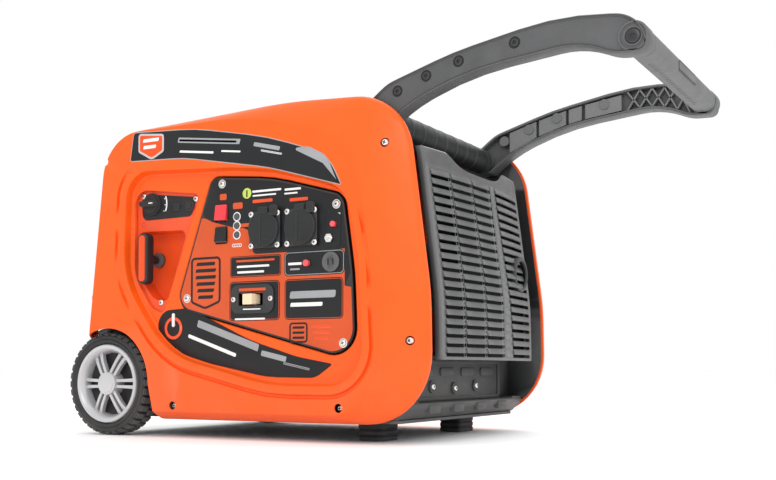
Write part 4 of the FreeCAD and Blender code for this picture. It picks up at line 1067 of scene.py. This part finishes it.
def grille_backing():
    """A sheet of painted shade behind the slots, so that the grille reads black inside."""
    piece = Sculpt(bow)
    piece.sheet([[bow(-158 + 316 * a / 20, 114 + 278 * b / 24, -11.0) for a in range(21)]
                 for b in range(25)])
    for k in range(14):
        z = 124 + k * 20
        piece.solid([Vector(p) for p in ((-150, z), (150, z), (150, z + 3), (-150, z + 3))], -10.8,
                    -8.6, 0.3)
    piece.finish("grille_backing", [SHADE_AND_SCREEN_BLACK], "chassis", "black_plastic")


def exhaust_ring():
    """The round outlet: a rolled ring, a throat painted near-black as shade, and a spark screen."""
    y, z = OUTLET
    piece = Sculpt(lambda u, v, depth: at(END_CURVE(OUTLET[1]) + depth, u, v))
    rings = [piece.ring(oval(y, z, radius, 48), depth) for radius,
             depth in ((27.2, -10), (27.2, 3.6), (26.2, 5.8), (24.0, 6.8), (21.6, 6.2), (20.4, 4.0),
                       (19.6, -6), (19.6, -34))]
    piece.skin(rings[:6], 0)
    # painted shade: the throat and its floor take near-black
    piece.skin(rings[5:], 1)
    piece.cap(rings[-1], 1)
    for k in range(7):
        offset = -15 + 5 * k
        half = math.sqrt(19.4 ** 2 - offset ** 2)
        for wide, high, dy, dz in ((2 * half, 0.9, 0, offset), (0.9, 2 * half, offset, 0)):
            piece.solid(block_loop(y + dy, z + dz, wide, high, 0.4, turn=45), -9.5, -8.6, 0.2, 1)
    piece.finish("exhaust_outlet_ring", [ARM_RIM, SHADE_AND_SCREEN_BLACK], "chassis", "zinc", "exhaust_outlet")


grille()
grille_backing()
exhaust_ring()


# ---------------------------------------------------------------- tow handle
ARM_IN = 169
ARM_OUT = 197


def handle_arm(side, name):
    """A moulded arm: raised rims, sunken web, ribs on the inner face, screws and knuckle."""
    piece = Sculpt(across(side))
    outline = loop(ARM, run=9, turn=6)
    skirt = piece.stack(outline, [(-1.6, ARM_IN), (-0.4, ARM_IN + 0.5), (0, ARM_IN + 1.8),
                                  (0, ARM_OUT - 1.8), (-0.5, ARM_OUT - 0.5), (-1.6, ARM_OUT)])
    outer_web = piece.stack(outline, [(-3.0, ARM_OUT), (-3.6, ARM_OUT - 0.5), (-4.2, ARM_OUT - 1.7),
                                      (-5.0, ARM_OUT - 2.0)])
    piece.skin([skirt[-1], outer_web[0]], 1)
    holes = []
    for x, z in ARM_SCREWS:
        wells = piece.stack(oval(x, z, 7.4, 28), [(0.4, ARM_OUT - 2.0), (0, ARM_OUT - 2.4),
                                                  (-0.6, ARM_OUT - 3.1)], 1)
        piece.cap(wells[-1], 1)
        holes.append(wells[0])
    piece.plate(outer_web[-1], holes)
    inner_web = piece.stack(outline, [(-3.6, ARM_IN), (-4.2, ARM_IN + 1.0), (-4.4, ARM_IN + 11),
                                      (-5.0, ARM_IN + 11.5)])
    piece.skin([skirt[0], inner_web[0]])
    piece.plate(inner_web[-1], [])
    for radius, centre in ((20, PIVOT), (19, KNUCKLE)):
        rings = piece.stack(oval(centre[0], centre[1], radius, 48),
                            [(-1.4, ARM_IN), (-0.3, ARM_IN + 0.5), (0, ARM_IN + 1.6),
                             (0, ARM_OUT - 1.8), (-0.5, ARM_OUT - 0.5), (-1.6, ARM_OUT),
                             (-3.2, ARM_OUT), (-3.8, ARM_OUT - 1.2), (-6.6, ARM_OUT - 1.2),
                             (-7.2, ARM_OUT - 0.2), (-8.6, ARM_OUT - 0.2), (-9.2, ARM_OUT - 1.6)])
        piece.cap(rings[-1], 1)
        piece.cap(rings[0][::-1])
    for x, z in ARM_SCREWS:
        piece.solid(oval(x, z, 8.0, 28), ARM_IN + 0.6, ARM_IN + 12, 0.6)
    step = 19
    for x0, x1 in ((256, 302), (307, 352), (357, 378), (384, 442)):
        (low, high), (low_far, high_far) = arm_span(x0), arm_span(x1)
        piece.solid([Vector((x0, low + 2)), Vector((x1, low_far + 2)), Vector((x1, high_far - 2)),
                     Vector((x0, high - 2))], ARM_IN + 2.4, ARM_IN + 12, 1.0)
    for k in range(10, 15):
        x = 262 + step * k
        for lean in (-1, 1):
            low, high = arm_span(x)
            low_far, high_far = arm_span(x + step)
            start = Vector((x, low if lean > 0 else high))
            end = Vector((x + step, high_far if lean > 0 else low_far))
            heading = (end - start).normalized()
            side_step = Vector((-heading.y, heading.x)) * 1.1
            piece.solid([start - side_step, end - side_step, end + side_step, start + side_step],
                        ARM_IN + 1.6, ARM_IN + 12, 0.4)
    piece.finish("handle_arm_%s_moulding" % name, [ARM_GREY, ARM_RIM], "tow_handle", "handle_grey",
                 "handle_arm_" + name, smooth=36)
    bolts = Sculpt(across(side))
    for x, z in ARM_SCREWS:
        socket_screw(bolts, x, z, 5.4, ARM_OUT - 3.2, 2.3)
    socket_screw(bolts, KNUCKLE[0], KNUCKLE[1], 8.2, ARM_OUT - 1.8, 1.6)
    socket_screw(bolts, PIVOT[0], PIVOT[1], 7.4, ARM_OUT - 1.8, 1.6)
    nodes = ["handle_screws"] if side < 0 else []
    bolts.finish("handle_screws_" + name, [DARK_STEEL, ARM_RIM], "tow_handle", "black_screw",
                 *nodes)


def arm_span(x):
    """Lower and upper edge of the arm's web at a place along it."""
    crossings = []
    points = grown(loop(ARM, run=9, turn=8), -4.4)
    for a, b in zip(points, points[1:] + points[:1]):
        if (a.x - x) * (b.x - x) < 0:
            crossings.append(a.y + (b.y - a.y) * (x - a.x) / (b.x - a.x))
    return min(crossings), max(crossings)


def socket_screw(piece, x, z, radius, seat, high):
    """A round head with a hexagon socket."""
    rim = oval(x, z, radius, 30)
    rings = piece.stack(rim, [(-off * radius, seat + share * high)
                              for off, share in ((0, 0), (0, 0.7), (0.12, 1), (0.5, 1))])
    recess = piece.stack(oval(x, z, radius * 0.42, 6), [(0, seat + high),
                                                        (-0.04 * radius, seat + high * 0.45)], 1)
    piece.plate(rings[-1], [recess[0]])
    piece.cap(recess[-1], 1)


def handle_grip():
    """The grip between the arms: a soft rounded bar with end collars and inlaid pads."""
    x, z = KNUCKLE
    piece = Sculpt(along)
    section = block_loop(x, z, 35, 30, 12, turn=7)
    half = 168.7
    profile = [(-2.6, -half), (-0.8, -half + 0.6), (0, -half + 2.4), (0, -half + 8.5),
               (-0.9, -half + 9.2), (-0.9, -half + 10.6), (0, -half + 11.3)]
    piece.ends(piece.stack(section, mirrored(profile, [(0, y) for y in range(-140, 141, 20)])))
    arc = [(17.2 * math.cos(math.radians(a)), 14.8 * math.sin(math.radians(a)))
           for a in range(212, 329, 8)]
    for y in range(-117, 118, 9):
        piece.sheet([[at(x + u * grow, y + dy, z + v * grow) for u, v in arc]
                     for grow, dy in ((0.98, -2.4), (1.045, -1.4), (1.045, 1.4), (0.98, 2.4))], 1)
    piece.finish("handle_grip_cover", [GRIP_GREY, ARM_GREY], "tow_handle", "grip_grey",
                 "handle_grip")
    pad = block_loop(0, 0, 96, 15, 7, turn=12)
    facing = Sculpt(lambda u, v, depth: at(x + depth, u, z + v))
    facing.solid(pad, 15.9, 18.0, 0.5, 0)
    facing.solid(grown(pad, -2.6), 17.8, 18.3, 0.3, 1)
    facing.finish("grip_pad", [ARM_RIM, GRIP_GREY], "tow_handle", "grip_grey")


def cross_tube():
    """The tube between the arm roots, with stepped collars and a moulding seam."""
    x, z = PIVOT
    piece = Sculpt(along)
    half = 168.6
    ring = oval(x, z, 21, 56)
    profile = [(-2.0, -half), (-0.4, -half + 0.5), (0, -half + 2), (0, -half + 16),
               (-1.2, -half + 17.2), (-1.2, -half + 20), (-0.4, -half + 21)]
    piece.ends(piece.stack(ring, mirrored(profile, [(-0.4, 0)])))
    for y in range(-108, 109, 36):
        piece.stack(ring, [(-0.6, y - 2.4), (0, y - 1.8), (0, y + 1.8), (-0.6, y + 2.4)])
    piece.finish("handle_cross_tube_cover", [BLACK], "tow_handle", "handle_grey",
                 "handle_cross_tube")


for one_side in SIDES:
    handle_arm(*one_side)
handle_grip()
cross_tube()


# ---------------------------------------------------------------- wheels
TYRE_WIDE = 44
WHEEL_Y = 203
# a spoke's section, as (share of its half width, depth), and its line, as
# (radius, angle from its pair's middle, half width, depth below the tyre's side)
SPOKE_SECTION = ((-1, 7.5), (-1, 0.9), (-0.72, 0.15), (0.72, 0.15), (1, 0.9), (1, 7.5))
SPOKE_LINE = ((16, 0.27, 2.5, 4.6), (24, 0.19, 2.4, 5.2), (36, 0.135, 2.5, 6.6),
              (45, 0.118, 2.8, 8.8), (49.2, 0.118, 3.4, 10.4))


def wheel(side, name):
    """A block-tread tyre on a silver rim with six double spokes and a hub cap."""
    body = "wheel_" + name
    half = TYRE_WIDE / 2

    def hub(u, v, depth):
        """A place from its offsets from the axle and its distance out from the wheel's middle."""
        return at(WHEEL[0] + u, side * (WHEEL_Y + depth), WHEEL[1] + v)

    def spun(radius, angle, depth):
        """The same from its radius and angle."""
        return hub(radius * math.cos(angle), radius * math.sin(angle), depth)

    tyre = Sculpt(hub)
    tyre.lathe(0, 0, [(59.9, half - 6), (60.4, half - 3.4), (62.2, half - 1.6), (65.0, half - 0.5),
                      (66.2, half - 0.3), (66.8, half - 1.0), (67.6, half - 0.4),
                      (70.4, half - 0.8), (73.2, half - 2.8), (74.6, half - 5.2), (75.1, half - 8),
                      (75.1, -half + 8), (74.6, -half + 5.2), (73.2, -half + 2.8),
                      (70.4, -half + 0.8), (66.2, -half + 0.3), (62.2, -half + 1.6),
                      (59.9, -half + 6)], 96)
    blocks = 36
    for row, (low, high, phase) in enumerate(((2.2, half - 3.4, 0), (-half + 3.4, -2.2, 0.5))):
        for k in range(blocks):
            mid = 2 * math.pi * (k + phase) / blocks
            wide = 2 * math.pi / blocks * 0.36
            outward, inner, shoulder = (-1, high, low) if row else (1, low, high)
            rings = []
            for radius, shrink, drop in ((74.4, 0.0, 0.0), (77.3, 0.05, 0.1), (77.95, 0.14, 0.5)):
                w = wide * (1 - shrink)
                a0, a1 = inner + outward * drop, shoulder - outward * drop
                tilt = 0.02 * outward
                crown = radius > 75
                far = radius - 0.9 * crown
                a1 -= outward * 1.2 * crown
                rings.append([tyre.bm.verts.new(spun(r, a, d)) for r, a, d in (
                    (radius, mid - w, a0), (radius, mid + w, a0),
                    (far, mid + w + tilt, a1), (far, mid - w + tilt, a1))])
            tyre.skin(rings)
            tyre.cap(rings[-1])
            if row == 0:
                tyre.sheet([[spun(r, mid + s * wide * 0.86 + 0.02, half - d) for s in (-1, 1)]
                            for r, d in ((76.6, 4.2), (75.4, 2.9), (73.6, 2.5), (72.8, 3.2))])
    tyre.finish("tyre_%s_tread" % name, [TYRE], body, "tyre_rubber", "tyre_" + name, smooth=30)
    rim = Sculpt(hub)
    rim.lathe(0, 0, [(59.7, -half + 4), (59.7, half - 3.8), (59.2, half - 1.6), (58.2, half - 0.6),
                     (55.2, half - 0.6), (53.6, half - 1.4), (50.0, half - 7.0),
                     (48.6, half - 10.0), (47.6, half - 14.5), (47.0, half - 16), (47.0, -half + 5),
                     (56.0, -half + 4.4), (59.7, -half + 4)], 96)
    spoke_dish(rim, spun, half)
    rim.lathe(0, 0, [(8.06, half - 2.0), (8.6, half - 1.2), (15.2, half - 1.2), (17.0, half - 2.0),
                     (17.5, half - 3.6), (18.3, half - 12), (19.5, half - 17.0), (19.5, -half + 7),
                     (8.06, -half + 7), (8.06, half - 2.0)], 48)
    rim.finish("rim_%s_spokes" % name, [SILVER, BLACK], body, "silver_rim", "rim_" + name,
               smooth=34)
    cap = Sculpt(hub)
    rings = cap.lathe(0, 0, [(13.6, half - 1.3), (13.2, half - 0.5), (11.6, half - 0.1),
                             (6.0, half + 0.15)], 40)
    cap.cap(rings[-1])
    cap.finish("hub_cap_" + name, [SILVER], body, "silver_rim")


def spoke_dish(rim, spun, half):
    """Six pairs of bars from the hub to the lip, set over a dark recessed disc."""
    for k in range(6):
        middle = math.radians(60 * k)
        for lean in (-1, 1):
            rings = []
            for radius, spread, wide, sunk in SPOKE_LINE:
                angle = middle + lean * spread
                reach = wide / radius
                rings.append([rim.bm.verts.new(spun(radius, angle + a * reach, half - sunk - d))
                              for a, d in SPOKE_SECTION])
            rim.skin(rings, 0)
    rim.lathe(0, 0, [(18.6, half - 19.5), (30, half - 20.5), (47.4, half - 19.0)], 72, 1)


for one_side in SIDES:
    wheel(*one_side)


# ---------------------------------------------------------------- centre covers and base
COVER_WALL = 2.5
INTAKE_WALL = 1.4
CAP = (-70, 0)
CAP_BASE = 459.5
COVER_HALF = 199.4      # half the width of the top cover and the intake panel
COVER_DROP = 2.0        # how far they lie inside the shells' outline


def rim_height(x):
    """The shell outline's upper edge at a place along the machine."""
    points = loop(RIM, run=6, turn=3)
    spans = [(a, b) for a, b in zip(points, points[1:] + points[:1])
             if (a.x - x) * (b.x - x) <= 0 and a.x != b.x]
    return max(a.y + (b.y - a.y) * (x - a.x) / (b.x - a.x) for a, b in spans)


def top_cover():
    """The black cover along the top and down the upper intake end: crossways ribs, a
    filler recess and rolled edges."""
    xs = [-276 + 4.5 * k for k in range(100) if -276 + 4.5 * k <= 172]
    path = [(x, rim_height(x) - COVER_DROP) for x in xs]
    piece = Sculpt(at)
    half = COVER_HALF
    ys = [-half, -half + 0.8, -half + 2.4, -150, -120, -60, 0, 60, 120, 150, half - 2.4, half - 0.8,
          half]
    lift = [-2.2, -0.6] + [0] * 9 + [-0.6, -2.2]
    clear = 38.5
    rows = [[piece.bm.verts.new(at(x, y, z + off)) for y, off in zip(ys, lift)] for x, z in path]
    for a, b in zip(rows, rows[1:]):
        for i in range(len(ys) - 1):
            mid_x = ((a[i].co.x + b[i].co.x) / 2 - SHIFT) / MM
            mid_y = (ys[i] + ys[i + 1]) / 2
            if abs(mid_x - CAP[0]) < clear and abs(mid_y) < 60:
                continue
            piece.face((a[i], a[i + 1], b[i + 1], b[i]))
    x0 = max(p[0] for p in path if p[0] < CAP[0] - clear)
    x1 = min(p[0] for p in path if p[0] > CAP[0] + clear)
    z0 = rim_height(x0) - COVER_DROP
    z1 = rim_height(x1) - COVER_DROP

    slope = (z1 - z0) / (x1 - x0)
    lid = Sculpt(lambda u, v, depth: at(u, v, z0 + slope * (u - x0) + depth))
    frame_points = block_loop((x0 + x1) / 2, 0, x1 - x0 + 6, 126, 2, turn=45)
    ring = oval(CAP[0], CAP[1], 38, 56)
    outer = lid.stack(frame_points, [(0, -1.5), (0, 0.4), (-0.6, 0.9)])
    well = lid.stack(ring, [(3.4, 0.9), (2.6, 2.2), (0.8, 2.2), (0, 1.2), (0, -16)])
    lid.plate(outer[-1], [well[0]])
    lid.finish("filler_surround", [BLACK], "chassis", "black_plastic")
    ribs = Sculpt()
    for side in (-1, 1):
        for x, y, wide, high, radius, low, top in (
                [(22 + 15 * k, 88, 6, 110, 2.8, -0.6, 1.4) for k in range(9)]
                + [(-238 + 20 * k, 118, 7, 84, 3.2, -0.9, 1.2) for k in range(6)]):
            z = rim_height(x) - COVER_DROP
            ribs.place = lambda u, v, depth, z=z: at(u, v, z + depth)
            ribs.solid(block_loop(x, side * y, wide, high, radius, turn=20), low, top, 0.7)
    ribs.finish("top_cover_ribs", [BLACK], "chassis", "black_plastic")
    cover = piece.finish("top_cover_skin", [BLACK], "chassis", "black_plastic", "top_cover",
                         smooth=40)
    thicken(cover, COVER_WALL)


def fuel_cap():
    """The filler cap: a fluted skirt, a stepped crown and a finger bar."""
    x, y = CAP
    piece = Sculpt(lambda u, v, depth: at(u, v, CAP_BASE + depth))
    flutes = fluted(x, y, [33.6, 34.9, 34.9, 33.6] * 24)
    rings = piece.stack(flutes, [(-6, 0.0), (-0.8, 0.1), (0, 0.9), (0, 9.6), (-0.6, 11.0),
                                 (-2.0, 12.2)])
    piece.cap(rings[0])
    crown = piece.stack(oval(x, y, 31.6, 96), [(0, 12.2), (-1.2, 12.6), (-3.0, 12.4), (-5.0, 11.6),
                                               (-22, 11.9)])
    piece.skin([rings[-1], crown[0]])
    piece.cap(crown[-1])
    piece.solid(block_loop(x, y, 52, 12, 5.5, turn=12), 11.0, 14.8, 1.6)
    piece.stack(oval(x, y, 22.4, 48), [(0, -15), (0, 0.2)])
    piece.finish("fuel_cap_moulding", [BLACK], "filler_cap", "black_plastic", "fuel_cap")


DOOR_FACE = 227.95


def service_door():
    """The orange service door: rolled edge, raised field, vents, a latch and hinges."""
    piece = Sculpt(across(1))
    outline = loop([(-153.5, 128.5, 20), (93.5, 128.5, 12), (93.5, 335.5, 12),
                    (-153.5, 335.5, 20)], run=20, turn=8)
    rings = piece.stack(outline, [(-1.2, 224.9), (0, 225.3), (0, 226.8), (-0.4, 227.5),
                                  (-1.4, DOOR_FACE)])
    piece.cap(rings[0])
    field = piece.stack(outline, [(-9, DOOR_FACE), (-10, 227.4), (-12, 226.8), (-14, 226.8),
                                  (-16, 227.4), (-17, DOOR_FACE)])
    vents = []
    for k in range(7):
        slot = block_loop(-30, 296 - 9 * k, 150, 4.2, 2.0, turn=20)
        walls = piece.stack(slot, [(0.7, DOOR_FACE), (0, 227.4), (0, 225.2)], 0)
        piece.cap(walls[-1], 1)
        vents.append(walls[0])
    latch = piece.stack(block_loop(70, 232, 24, 40, 8, turn=10),
                        [(1, DOOR_FACE), (0, 227.3), (-0.6, 225.5), (-2, 225.2)])
    piece.plate(rings[-1], [field[0]])
    piece.plate(field[-1], vents + [latch[0]])
    piece.cap(latch[-1], 1)
    piece.solid(block_loop(70, 232, 12, 30, 5, turn=12), 225.1, 227.8, 0.9, 1)
    for z in (167, 297):
        piece.solid(block_loop(-147.5, z, 7, 40, 2.0, turn=30), 225.1, 227.9, 0.5, 0)
    piece.finish("service_door_moulding", [ORANGE, BLACK], "access_door", "orange_shell",
                 "service_door")


def intake_panel():
    """The intake end: a curved black panel with ribbed louvres."""
    piece = Sculpt(lambda u, v, depth: at(COVER_DROP - INTAKE_CURVE(v) - depth, u, v))

    def patch(y0, y1, z0, z1, steps_y, steps_z):
        piece.sheet([[piece.place(y0 + (y1 - y0) * a / steps_y, z0 + (z1 - z0) * b / steps_z, 0)
                      for a in range(steps_y + 1)] for b in range(steps_z + 1)])

    patch(-COVER_HALF, -150, 172, 382, 3, 18)
    patch(150, COVER_HALF, 172, 382, 3, 18)
    patch(-150, 150, 364, 382, 12, 3)
    patch(-165.4, 165.4, 62, 172, 14, 10)
    patch(-150, 150, 172, 196, 12, 3)
    for row in range(12):
        z = 196 + row * 14
        ys = [-150 + 300 * k / 16 for k in range(17)]
        lines = [(z + 14, 0.0), (z + 12.6, 1.0), (z + 8.6, 2.0), (z + 6.4, 1.6), (z + 6.2, -0.4),
                 (z + 6.2, -2.4)]
        piece.sheet([[piece.place(y, height, off) for y in ys] for height, off in lines])
        for y in (-100, -50, 0, 50, 100):
            bar = [Vector(p) for p in ((y - 1.6, z - 0.4), (y + 1.6, z - 0.4), (y + 1.6, z + 6.8),
                                       (y - 1.6, z + 6.8))]
            piece.solid(bar, -2.4, -0.2, 0.4)
    made = piece.finish("intake_panel_louvres", [BLACK], "chassis", "black_plastic",
                        "intake_end_panel", smooth=30)
    thicken(made, INTAKE_WALL)


top_cover()
fuel_cap()
service_door()
intake_panel()


def feet():
    """Rubber feet: tapered blocks with a rolled foot and grip grooves."""
    piece = Sculpt(at)
    for y in (-128, 128):
        block = block_loop(180, y, 38, 54, 6, turn=12)
        piece.ends(piece.stack(block, [(-3, 0.1), (-1.2, 0.3), (-0.3, 1.6), (-0.3, 6), (-1.4, 6.8),
                                       (-1.4, 8.4), (-0.3, 9.2), (-0.3, 14), (-1.4, 14.8),
                                       (-1.4, 16.4), (-0.3, 17.2), (0, 25), (-0.6, 26.6)]))
    piece.finish("feet_rubber", [RUBBER], "chassis", "foot_rubber", "feet")


def casing_screws():
    """Bright pan heads deep in the casing's screw holes."""
    for side, name in SIDES:
        piece = Sculpt(across(side))
        for k, ((x, z), high) in enumerate(zip(SHELL_SCREWS, (9, 7.5, 17, 17, 12, 12))):
            cross_screw(piece, x, z, 5.6, 207.0, high, turn=0.3 + 0.5 * k)
        nodes = ["shell_screws"] if side < 0 else []
        piece.finish("casing_screws_" + name, [ZINC, BLACK], "chassis", "zinc", *nodes)


feet()
casing_screws()


def lower_bumper():
    """The dark skirt under the grille: a bordered wall with screws, lugs and a rolled ledge."""
    wall = Sculpt(lambda u, v, depth: at(depth, u, v))
    wall.solid(block_loop(0, 79.5, 324, 78, 3, turn=30), 238, 241.6, 0.8)
    border = block_loop(0, 84, 304, 58, 9, turn=12)
    pierced(wall, border, [grown(border, -5)], 241.5, 243.8, 0, 0.7)
    for y in (-105, -35, 35, 105):
        wall.solid(block_loop(y, 96, 46, 12, 4, turn=20), 241.4, 243.6, 0.7)
    for y, z in ((-85, 75), (-12, 72), (62, 75)):
        wall.solid(oval(y, z, 9, 28), 241.4, 244.4, 0.8)
        cross_screw(wall, y, z, 5.0, 244.2, 2.4, 1, 0)
    for y in (-118, -40, 40, 118):
        wall.solid(block_loop(y, 45, 34, 12, 4, turn=15), 258, 264.8, 1.6)
    wall.finish("bumper_wall", [BASE, ZINC], "chassis", "black_plastic", "lower_bumper")
    ledge = Sculpt(along)
    section = loop([(240, 31.7, 1), (240, 54.6, 1), (264.6, 54.6, 3), (262, 46, 6), (247, 31.7, 4)],
                   run=30, turn=12)
    ledge.ends(ledge.stack(section, mirrored([(-1.4, -198.8), (-0.4, -198.2), (0, -196.8)], [])))
    ledge.finish("bumper_ledge", [BASE], "chassis", "black_plastic")


def channel_details(side, name):
    """Ribs inside a handle channel."""
    piece = Sculpt(lambda u, v, depth: at(depth, side * u, v))
    for k in range(9):
        z = 118 + 26 * k
        x = 237.5 if z < 250 else 237.5 - 0.16 * (z - 250)
        piece.solid(block_loop(181, z, 24, 5, 2.2, turn=20), x, x + 3.4, 0.9)
    piece.finish("channel_ribs_" + name, [BLACK], "chassis", "black_plastic")


lower_bumper()
for one_side in SIDES:
    channel_details(*one_side)


def breaker_frame():
    """The breaker's dark surround, with its well, an orange label strip and two screws."""
    x, z = BREAKER
    piece = Sculpt()
    outer = block_loop(x, z, 74, 41, 13, turn=10)
    well = block_loop(x - 2, z, 42, 18, 1.5, turn=30)
    pierced(piece, outer, [well], PANEL_FACE, 219.4, 0, 0.9)
    # painted shade: the well's walls and floor take near-black
    walls = piece.stack(well, [(0, 216.6), (0, 202)], 1)
    piece.cap(walls[-1], 1)
    piece.solid(block_loop(x + 1, z + 13.4, 46, 4, 1, turn=30), 219.3, 219.7, 0.15, 3)
    piece.solid(block_loop(x, z - 14.2, 30, 1.6, 0.5, turn=45), 219.3, 219.6, 0.12, 4)
    for side in (-1, 1):
        cross_screw(piece, x + side * 32, z, 3.8, 219.2, 2.0, 2, 0)
    piece.finish("breaker_surround", [BLACK, SHADE_AND_SCREEN_BLACK, ZINC, FILM_ORANGE, WHITE_INK], "chassis",
                 "black_plastic", "ac_breaker")


def outlet_flanges():
    """The square flanges behind the round lids, with a rolled edge and an open plug well."""
    for name, (x, z) in zip(("left", "right"), SOCKETS):
        piece = Sculpt()
        outer = block_loop(x, z, 52, 52, 8, turn=12)
        well = oval(x, z, 19.5, 48)
        pierced(piece, outer, [well], PANEL_FACE, 220.5, 0, 0.9)
        walls = piece.stack(well, [(0, 216.6), (0, 204.5)], 0)
        pins = [oval(x + dx, z, 2.5, 16) for dx in (-9.5, 9.5)]
        # painted shade: the pin holes take near-black
        rims = [piece.stack(pin, [(0, 204.5), (0, 198)], 1) for pin in pins]
        piece.plate(walls[-1], [rim[0] for rim in rims])
        for rim in rims:
            piece.cap(rim[-1], 1)
        for dz in (-17.4, 17.4):
            piece.solid(block_loop(x, z + dz, 5, 3.6, 0.8, turn=30), 204.4, 216, 0.4, 2)
        piece.finish("outlet_flange_" + name, [BLACK, SHADE_AND_SCREEN_BLACK, ZINC], "chassis", "black_plastic",
                     "ac_outlet_" + name)


breaker_frame()
outlet_flanges()


# ---------------------------------------------------------------- stage, light, camera
RISE = 0.165            # how far the view is raised, as a share of its width
PITCH_SHARE = 0.05      # the part of that rise that tilts the camera; the rest shifts its lens
SENSOR = 36
LENS_LENGTH = 50.1
CAMERA = (929.3, -1451.9, 101.5)
HEADING = 29            # degrees between the view and the machine's width
AIM = Vector((0, 0, 0.25))
# name, place in metres, side of the square in metres, and power in watts
STUDIO_LIGHTS = [("key", (0.9, -2.8, 1.9), 1.4, 26), ("end_fill", (3.2, -0.5, 1.6), 1.2, 13),
                 ("top", (0.1, 0.3, 3.2), 2.2, 34), ("back", (-0.8, 3.0, 1.8), 2.0, 22)]


def stage():
    """A plain pale floor, soft studio lights and the camera."""
    bpy.ops.mesh.primitive_plane_add(size=60, location=(0, 0, 0))
    floor = bpy.context.object
    floor.name = "floor"
    white = bpy.data.materials.new("floor_white")
    white.use_nodes = True
    shader = white.node_tree.nodes["Principled BSDF"]
    shader.inputs["Base Color"].default_value = (1, 1, 1, 1)
    shader.inputs["Roughness"].default_value = 0.9
    floor.data.materials.append(white)
    world = bpy.data.worlds.new("studio")
    world.use_nodes = True
    world.node_tree.nodes["Background"].inputs["Color"].default_value = (1, 1, 1, 1)
    world.node_tree.nodes["Background"].inputs["Strength"].default_value = 1.0
    bpy.context.scene.world = world
    for name, spot, size, power in STUDIO_LIGHTS:
        data = bpy.data.lights.new(name, "AREA")
        data.shape = "SQUARE"
        data.size = size
        data.energy = power
        lamp = bpy.data.objects.new(name, data)
        lamp.location = spot
        lamp.rotation_euler = (AIM - Vector(spot)).to_track_quat("-Z", "Y").to_euler()
        bpy.context.scene.collection.objects.link(lamp)
    view = bpy.data.cameras.new("camera")
    view.sensor_width = SENSOR
    view.lens = LENS_LENGTH
    view.shift_y = RISE - PITCH_SHARE
    camera = bpy.data.objects.new("camera", view)
    camera.location = at(*CAMERA)
    pitch = math.atan(PITCH_SHARE * SENSOR / LENS_LENGTH)
    camera.rotation_euler = (math.radians(90) + pitch, 0, math.radians(HEADING))
    bpy.context.scene.collection.objects.link(camera)
    bpy.context.scene.camera = camera
    bpy.context.scene.view_settings.view_transform = "Standard"


stage()
